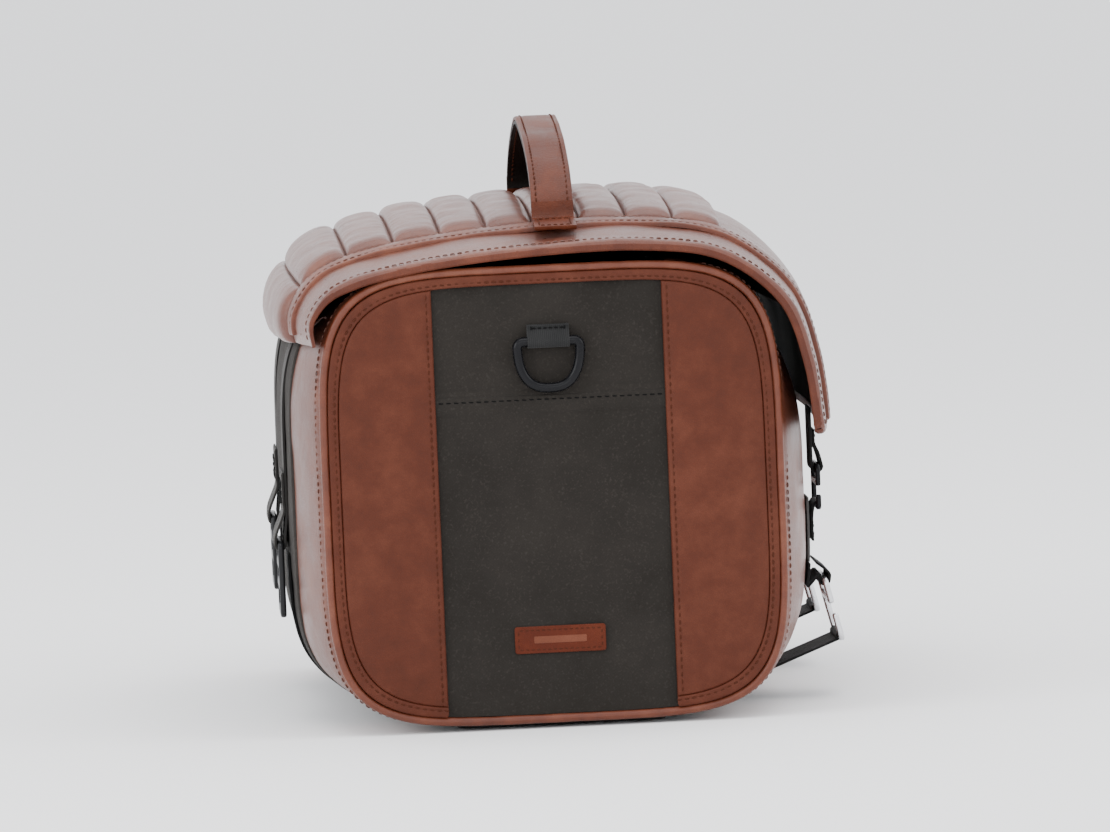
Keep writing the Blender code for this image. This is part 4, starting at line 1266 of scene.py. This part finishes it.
tab_thread = Stitches()
TAB_LIFT = 0.0052
shares = np.linspace(0.3, 0.6, 200)
tab_share = shares[np.argmin(np.abs(flap(shares, 0.0, 0.0)[:, 0] - HANDLE_X))]
for word, side in SIDES:
    node = f"handle_end_{word}"
    inner_y, outer_y = sorted((abs(low(node)[1]), abs(high(node)[1])))
    laid_y = np.linspace(outer_y - 0.0002, inner_y + 0.0068, 8)
    laid = flap(tab_share, laid_y, TAB_LIFT)[:, [1, 2]]
    rising = [
        (inner_y + 0.0034, laid[-1][1] + 0.0008),
        (inner_y + 0.0019, laid[-1][1] + 0.0040),
        (inner_y + 0.0015, laid[-1][1] + 0.0075),
        (inner_y + 0.0013, high(node)[2] - 0.0002),
    ]
    made = strap_over(
        f"handle_tab_{word}", wavy(np.vstack([laid, rising]), 0.0010), -0.0013, 0.0013, 0.0008,
        lambda s, v: 0.0002 * ripple(s, v, 0.02, 151), side=side,
    )
    finish_piece(made, HANDLE_SKIN, "flap", node, slot="handle_leather")
    near, far = laid_y[0] - 0.0025, laid_y[-1] + 0.0015
    for flat in segments([(-0.0090, near), (0.0090, near), (0.0090, far), (-0.0090, far)]):
        height = flap(tab_share, flat[:, 1], TAB_LIFT + 0.0014)[:, 2]
        line = xyz(HANDLE_X + flat[:, 0], side * flat[:, 1], height)
        tab_thread.row(line, (0, 0, 1), pitch=0.0036, length=0.0026)
tab_thread.piece("handle_tab_thread", THREAD, "flap")


# ---------------------------------------------------------------- straps

WEB = 0.0014  # thickness of the webbing
LOOP = 0.0030  # radius of a strap round a bar
BAR = 0.0035
PLY = WEB + 0.0003  # from one layer of webbing to the next
REAR_HOOK_DROP = 0.0390
CLOSURE_HOOK_DROP = 0.0270
HOOK_LEAN = math.radians(14)
strap_thread = Stitches()
closure_thread = Stitches()


def arc(centre, radius, start, end, steps=10):
    turn = np.radians(np.linspace(start, end, steps + 1))
    return np.stack([centre[0] + radius * np.cos(turn), centre[1] + radius * np.sin(turn)], -1)


def face_of_wall(first, last, y, off=0.0010):
    """(x, z) points along the outside of the bag between two angles in degrees."""
    count = max(3, int(abs(last - first) / 2.5) + 1)
    return wall(np.radians(np.linspace(first, last, count)), y, -off)[:, [0, 2]]


def strap(name, node, points, spacing, material=WEBBING, body="body", slot="black_webbing"):
    """Webbing as wide as its node, whose middle follows (x, z) points, with rounded selvedges."""
    y0, y1 = low(node)[1], high(node)[1]
    path = wavy(np.vstack(points), spacing)

    def surface(u, v, height):
        point = along_path(path, WEB / 2, u, height)
        return xyz(point[..., 0], y0 + v, point[..., 1])

    made = strip_slab(name, surface, run_along(path), spaced(y1 - y0, 0.0005, 0.004), WEB, 0.0005)
    finish_piece(made, material, body, node, slot=slot)
    return y0, y1


def upright_box(thread, x, y0, y1, z0, z1, cross):
    """A sewn box on webbing that faces the rear, a little inside the webbing's edges."""
    y0, y1 = y0 + 0.003, y1 - 0.003
    sewn(thread, [(x, y0, z0), (x, y1, z0), (x, y1, z1), (x, y0, z1)], (1, 0, 0), 0.0033, cross)


def hang_plate(name, node, contours, bar, thickness, edge, material, slot, side, lean=0.0):
    """Flat hardware that hangs from the bar it turns on, drawn with u across and v down."""
    middle = (low(node)[1] + high(node)[1]) / 2

    def place(u, v, w):
        down = v - BAR / 2
        x = bar[0] + w * math.cos(lean) + down * math.sin(lean)
        return x, middle + side * u, bar[2] + w * math.sin(lean) - down * math.cos(lean)

    finish_piece(pressed_plate(name, contours, thickness, edge, place), material, node, node, slot=slot)


def hook_contours(half, drop, first, second, slot_end, corner):
    """Outline of a hook plate: a slot for its strap above, and below it a loop open at one side."""
    inner = half - BAR
    outer = [
        (-half, 0.0), (half, 0.0), (half, second), (-inner, second), (-inner, drop - BAR),
        (inner, drop - BAR), (inner, slot_end), (half, slot_end), (half, drop), (-half, drop),
    ]
    radii = (corner, corner, 0.0015, 0.0020, 0.0025, 0.0025, 0.0016, 0.0016, corner, corner)
    return [filleted(outer, radii), rectangle(-inner, BAR, inner, first, 0.0016)]


def front_straps(word, side, inner_y):
    """The front strap with the sewn return below its buckle, and the buckle."""
    bar = joint_at(f"front_buckle_{word}_tilt")
    down = face_of_wall(142.5, 187.5, inner_y)
    back = face_of_wall(185.0, 175.0, inner_y, 0.0014 + WEB)
    strap(f"front_webbing_{word}", f"front_strap_{word}", [
        down[:-1], (bar[0] + LOOP - 0.0002, bar[2] + 0.003),
        arc((bar[0], bar[2]), LOOP, 0, -180), (bar[0] - LOOP + 0.0008, bar[2] + 0.0060), back,
    ], 0.0013, FRONT_WEBBING)
    corners = [
        (back[k][0] - WEB / 2 - 0.0003, side * (STRAP_MIDDLE + off), back[k][1])
        for k, off in ((1, -0.016), (1, 0.016), (-2, 0.016), (-2, -0.016))
    ]
    sewn(strap_thread, corners, (-1, 0, 0), 0.0033, True)
    node = f"front_buckle_{word}"
    half = half_width(node)
    drop = high(node)[2] - low(node)[2]
    contours = [rectangle(-half, 0, half, drop, 0.0042)]
    for first, last in ((BAR, 0.0115), (0.0165, 0.0235), (0.0285, drop - 0.0050)):
        contours.append(rectangle(BAR - half, first, half - BAR, last, 0.0014))
    hang_plate(f"buckle_{word}", node, contours, bar, 0.0035, 0.0012, BLACK_PLASTIC, "black_plastic", side)


def rear_straps(word, side, inner_y):
    """The strap under the base, the strip and the loop on the rear wall, and the hook."""
    swing = joint_at(f"rear_hook_{word}_swing")
    reach = REAR_HOOK_DROP - BAR
    low_bar = (swing[0] + reach * math.sin(HOOK_LEAN), swing[2] - reach * math.cos(HOOK_LEAN))
    under = [face_of_wall(195, 307.5, inner_y), arc(low_bar, LOOP, 200, 94, 12)]
    strap(f"base_webbing_{word}", f"under_strap_{word}", under, 0.0016)
    strap(
        f"rear_strip_{word}", f"rear_webbing_{word}", face_of_wall(-22.5, -7.5, inner_y), 0.0016,
        GREY_WEBBING, slot="grey_webbing",
    )
    sewn_part = face_of_wall(-22.5, -30, inner_y)
    strap(f"rear_loop_{word}", f"rear_tab_{word}", [
        sewn_part[:-1], (swing[0] - LOOP, swing[2] + 0.003), arc((swing[0], swing[2]), LOOP, 180, 360),
        (swing[0] + LOOP - 0.0004, swing[2] + 0.004), sewn_part[0] + (0.0035, 0.0002),
    ], 0.0009)
    node = f"rear_hook_{word}"
    contours = hook_contours(half_width(node), REAR_HOOK_DROP, 0.0125, 0.0160, 0.0220, 0.0050)
    hang_plate(
        f"hook_{word}", node, contours, swing, 0.0035, 0.0012, ALUMINIUM, "aluminium", side, HOOK_LEAN,
    )


def closure(word, side):
    """The closure strap on the flap, its hook, and the catch loop on the rear wall."""
    node = f"closure_strap_{word}"
    x, _, z = joint_at(f"closure_hook_{word}_swing")
    top = high(node)[2]
    flat = x - LOOP + PLY
    y0, y1 = strap(f"closure_webbing_{word}", node, [
        [(x - LOOP, height) for height in (top, top - 0.010, z + 0.012, z + 0.003)],
        arc((x, z), LOOP, 180, 360), (x + 0.0012, z + 0.0075), (flat, z + 0.014), (flat, z + 0.0215),
    ], 0.0010, body="flap")
    upright_box(closure_thread, flat + WEB / 2 + 0.0001, y0, y1, z + 0.0150, z + 0.0205, False)
    node = f"closure_hook_{word}"
    contours = hook_contours(half_width(node), CLOSURE_HOOK_DROP, 0.0095, 0.0130, 0.0180, 0.0040)
    hang_plate(
        f"catch_hook_{word}", node, contours, (x, 0, z), 0.0030, 0.0010, BLACK_METAL, "black_metal", side,
    )
    node = f"closure_catch_{word}"
    catch_z = z - CLOSURE_HOOK_DROP + BAR
    x0 = low(node)[0] + WEB / 2
    y0, y1 = strap(f"catch_loop_{word}", node, [
        (x0, low(node)[2]), (x0, catch_z - 0.007), arc((x, catch_z), LOOP, 180, 80, 12),
    ], 0.0010)
    upright_box(strap_thread, x0 + WEB / 2 + 0.0001, y0, y1, catch_z - 0.018, catch_z - 0.009, True)


for word, side in SIDES:
    node = f"front_strap_{word}"
    inner_y = min(abs(low(node)[1]), abs(high(node)[1]))
    front_straps(word, side, inner_y)
    rear_straps(word, side, inner_y)
    closure(word, side)


# ---------------------------------------------------------------- D-rings and label

RING_POWER = 2 / 2.6  # roundness of the ring's bow
RING_CORNER = 0.0034
RING_STOUT = 1.65  # thickness of the ring's wire over that of the CAD part


def d_ring(word, side):
    """The ring, wider at its flat top, and the webbing tab folded round its bar."""
    node = f"d_ring_{word}"
    wire = half_width(node)
    ring_y = (high(node)[1] + low(node)[1]) / 2
    bar_z = high(node)[2] - wire
    half = (high(node)[0] - low(node)[0]) / 2 - wire
    drop = bar_z - low(node)[2] - wire
    turn = np.radians(np.linspace(5, 175, 60))
    bow_x = np.sign(np.cos(turn)) * half * np.abs(np.cos(turn)) ** RING_POWER
    bow_z = bar_z - drop * np.sin(turn) ** RING_POWER
    corner = arc((RING_CORNER - half, bar_z - RING_CORNER), RING_CORNER, 180, 90, 6)
    top_x = np.linspace(-half + RING_CORNER, half - RING_CORNER, 14)[1:-1]
    ring = np.vstack([
        np.stack([bow_x, bow_z], -1), corner, [(x, bar_z) for x in top_x], corner[::-1] * (-1, 1),
    ])
    made = round_ring(f"ring_{word}", xyz(ring[:, 0], ring_y, ring[:, 1]), wire * RING_STOUT)
    finish_piece(made, BLACK_METAL, node, node, slot="black_metal")

    node = f"d_ring_tab_{word}"
    x0, x1 = low(node)[0], high(node)[0]
    top = high(node)[2] - 0.0050
    against = abs(ring_y) - LOOP
    over = against + PLY
    path = wavy(np.vstack([
        [(against, top), (against, top - 0.006), (against, bar_z + 0.003)],
        arc((abs(ring_y), bar_z), LOOP, 180, 360),
        [(over + 0.0024, bar_z + 0.003), (over, bar_z + 0.0065), (over, top - 0.0004)],
    ]), 0.0008)

    def surface(u, v, height):
        point = along_path(path, WEB / 2, u, height)
        return xyz(x0 + v, side * point[..., 0], point[..., 1])

    across = spaced(x1 - x0, 0.0005, 0.003)
    made = strip_slab(f"ring_tab_{word}", surface, run_along(path), across, WEB, 0.0005)
    finish_piece(made, WEBBING, "body", node, slot="black_webbing")
    face = side * (over + WEB / 2 + 0.0001)
    x0, x1, z0, z1 = x0 + 0.0025, x1 - 0.0025, bar_z + 0.0075, top - 0.0020
    corners = [(x0, face, z0), (x1, face, z0), (x1, face, z1), (x0, face, z1)]
    sewn(strap_thread, corners, (0, side, 0), 0.0028, True)


for word, side in SIDES:
    d_ring(word, side)

(x0, y0, z0), (x1, y1, z1) = low("label_left"), high("label_left")
middle_x, middle_z = (x0 + x1) / 2, (z0 + z1) / 2
made = pressed_plate(
    "label_patch", [rectangle(x0, z0, x1, z1, 0.0016)], y1 - y0, 0.0005,
    lambda u, v, w: (u, (y0 + y1) / 2 + w, v),
)
finish_piece(made, LABEL_SKIN, "body", "label_left", slot="label_leather")
made = pressed_plate(
    "label_bar_mark", [rectangle(-0.015, -0.002, 0.015, 0.002, 0.0006)], 0.0006, 0.0001,
    lambda u, v, w: (middle_x + u, y0 + w + 0.00018, middle_z + v),
)
finish_piece(made, LABEL_BAR, "body", slot="label_leather")
label_thread = Stitches()
left, right, foot, head = x0 + 0.0022, x1 - 0.0022, z0 + 0.0022, z1 - 0.0022
corners = [(left, y0, foot), (right, y0, foot), (right, y0, head), (left, y0, head)]
sewn(label_thread, corners, (0, -1, 0), 0.0030, length=0.0021, radius=0.0003)

for thread, name, material, body in (
    (label_thread, "label_thread", THREAD, "body"),
    (wall_thread, "wall_thread", PALE_THREAD, "body"),
    (end_thread, "end_thread", THREAD, "body"),
    (canvas_thread, "canvas_thread", DARK_THREAD, "body"),
    (flap_thread, "flap_thread", PALE_THREAD, "flap"),
    (strap_thread, "strap_thread", DARK_THREAD, "body"),
    (closure_thread, "closure_thread", DARK_THREAD, "flap"),
):
    thread.piece(name, material, body)


# ---------------------------------------------------------------- floor, light and camera

def stage_plane(name, size, z, colour):
    corners = [(-size, -size, z), (size, -size, z), (size, size, z), (-size, size, z)]
    made = make_object(name, corners, [(0, 1, 2, 3)])
    paint(made, Finish(name + "_paint", 0.1, Roughness=0.9, Base_Color=(*colour, 1.0)).material)


def soft_light(name, place, aim, size, power):
    data = bpy.data.lights.new(name, "AREA")
    data.shape = "RECTANGLE"
    data.size, data.size_y = size
    data.energy = power
    made = bpy.data.objects.new(name, data)
    made.location = place
    made.rotation_euler = (Vector(aim) - Vector(place)).to_track_quat("-Z", "Y").to_euler()
    bpy.context.scene.collection.objects.link(made)


stage_plane("floor", 30.0, 0.0, (0.90, 0.90, 0.90))
world = bpy.data.worlds.new("studio")
world.use_nodes = True
world.node_tree.nodes["Background"].inputs["Color"].default_value = (0.96, 0.97, 1.0, 1.0)
world.node_tree.nodes["Background"].inputs["Strength"].default_value = 1.85
bpy.context.scene.world = world
soft_light("overhead", (0.1, -0.3, 2.2), (0.0, 0.0, 0.2), (2.2, 1.6), 32.0)
soft_light("front_left", (-2.2, -1.2, 1.1), (0.0, 0.0, 0.2), (1.6, 1.4), 30.0)
soft_light("rear_side", (2.0, -0.9, 1.3), (0.0, 0.0, 0.15), (1.2, 1.2), 12.0)
soft_light("camera_side", (-0.3, -3.6, 1.4), (0.0, 0.0, 0.15), (1.8, 1.2), 18.0)

camera_data = bpy.data.cameras.new("view")
camera_data.lens = 268.0
camera_data.sensor_width = 36.0
camera = bpy.data.objects.new("view", camera_data)
bpy.context.scene.collection.objects.link(camera)
camera.location = (-0.2503, -4.8565, 0.573)
turned = (Vector((0.012, 0.0, 0.163)) - camera.location).to_track_quat("-Z", "Y")
camera.rotation_mode = "QUATERNION"
camera.rotation_quaternion = turned @ Quaternion((0.0, 0.0, 1.0), math.radians(-2.4))
bpy.context.scene.camera = camera
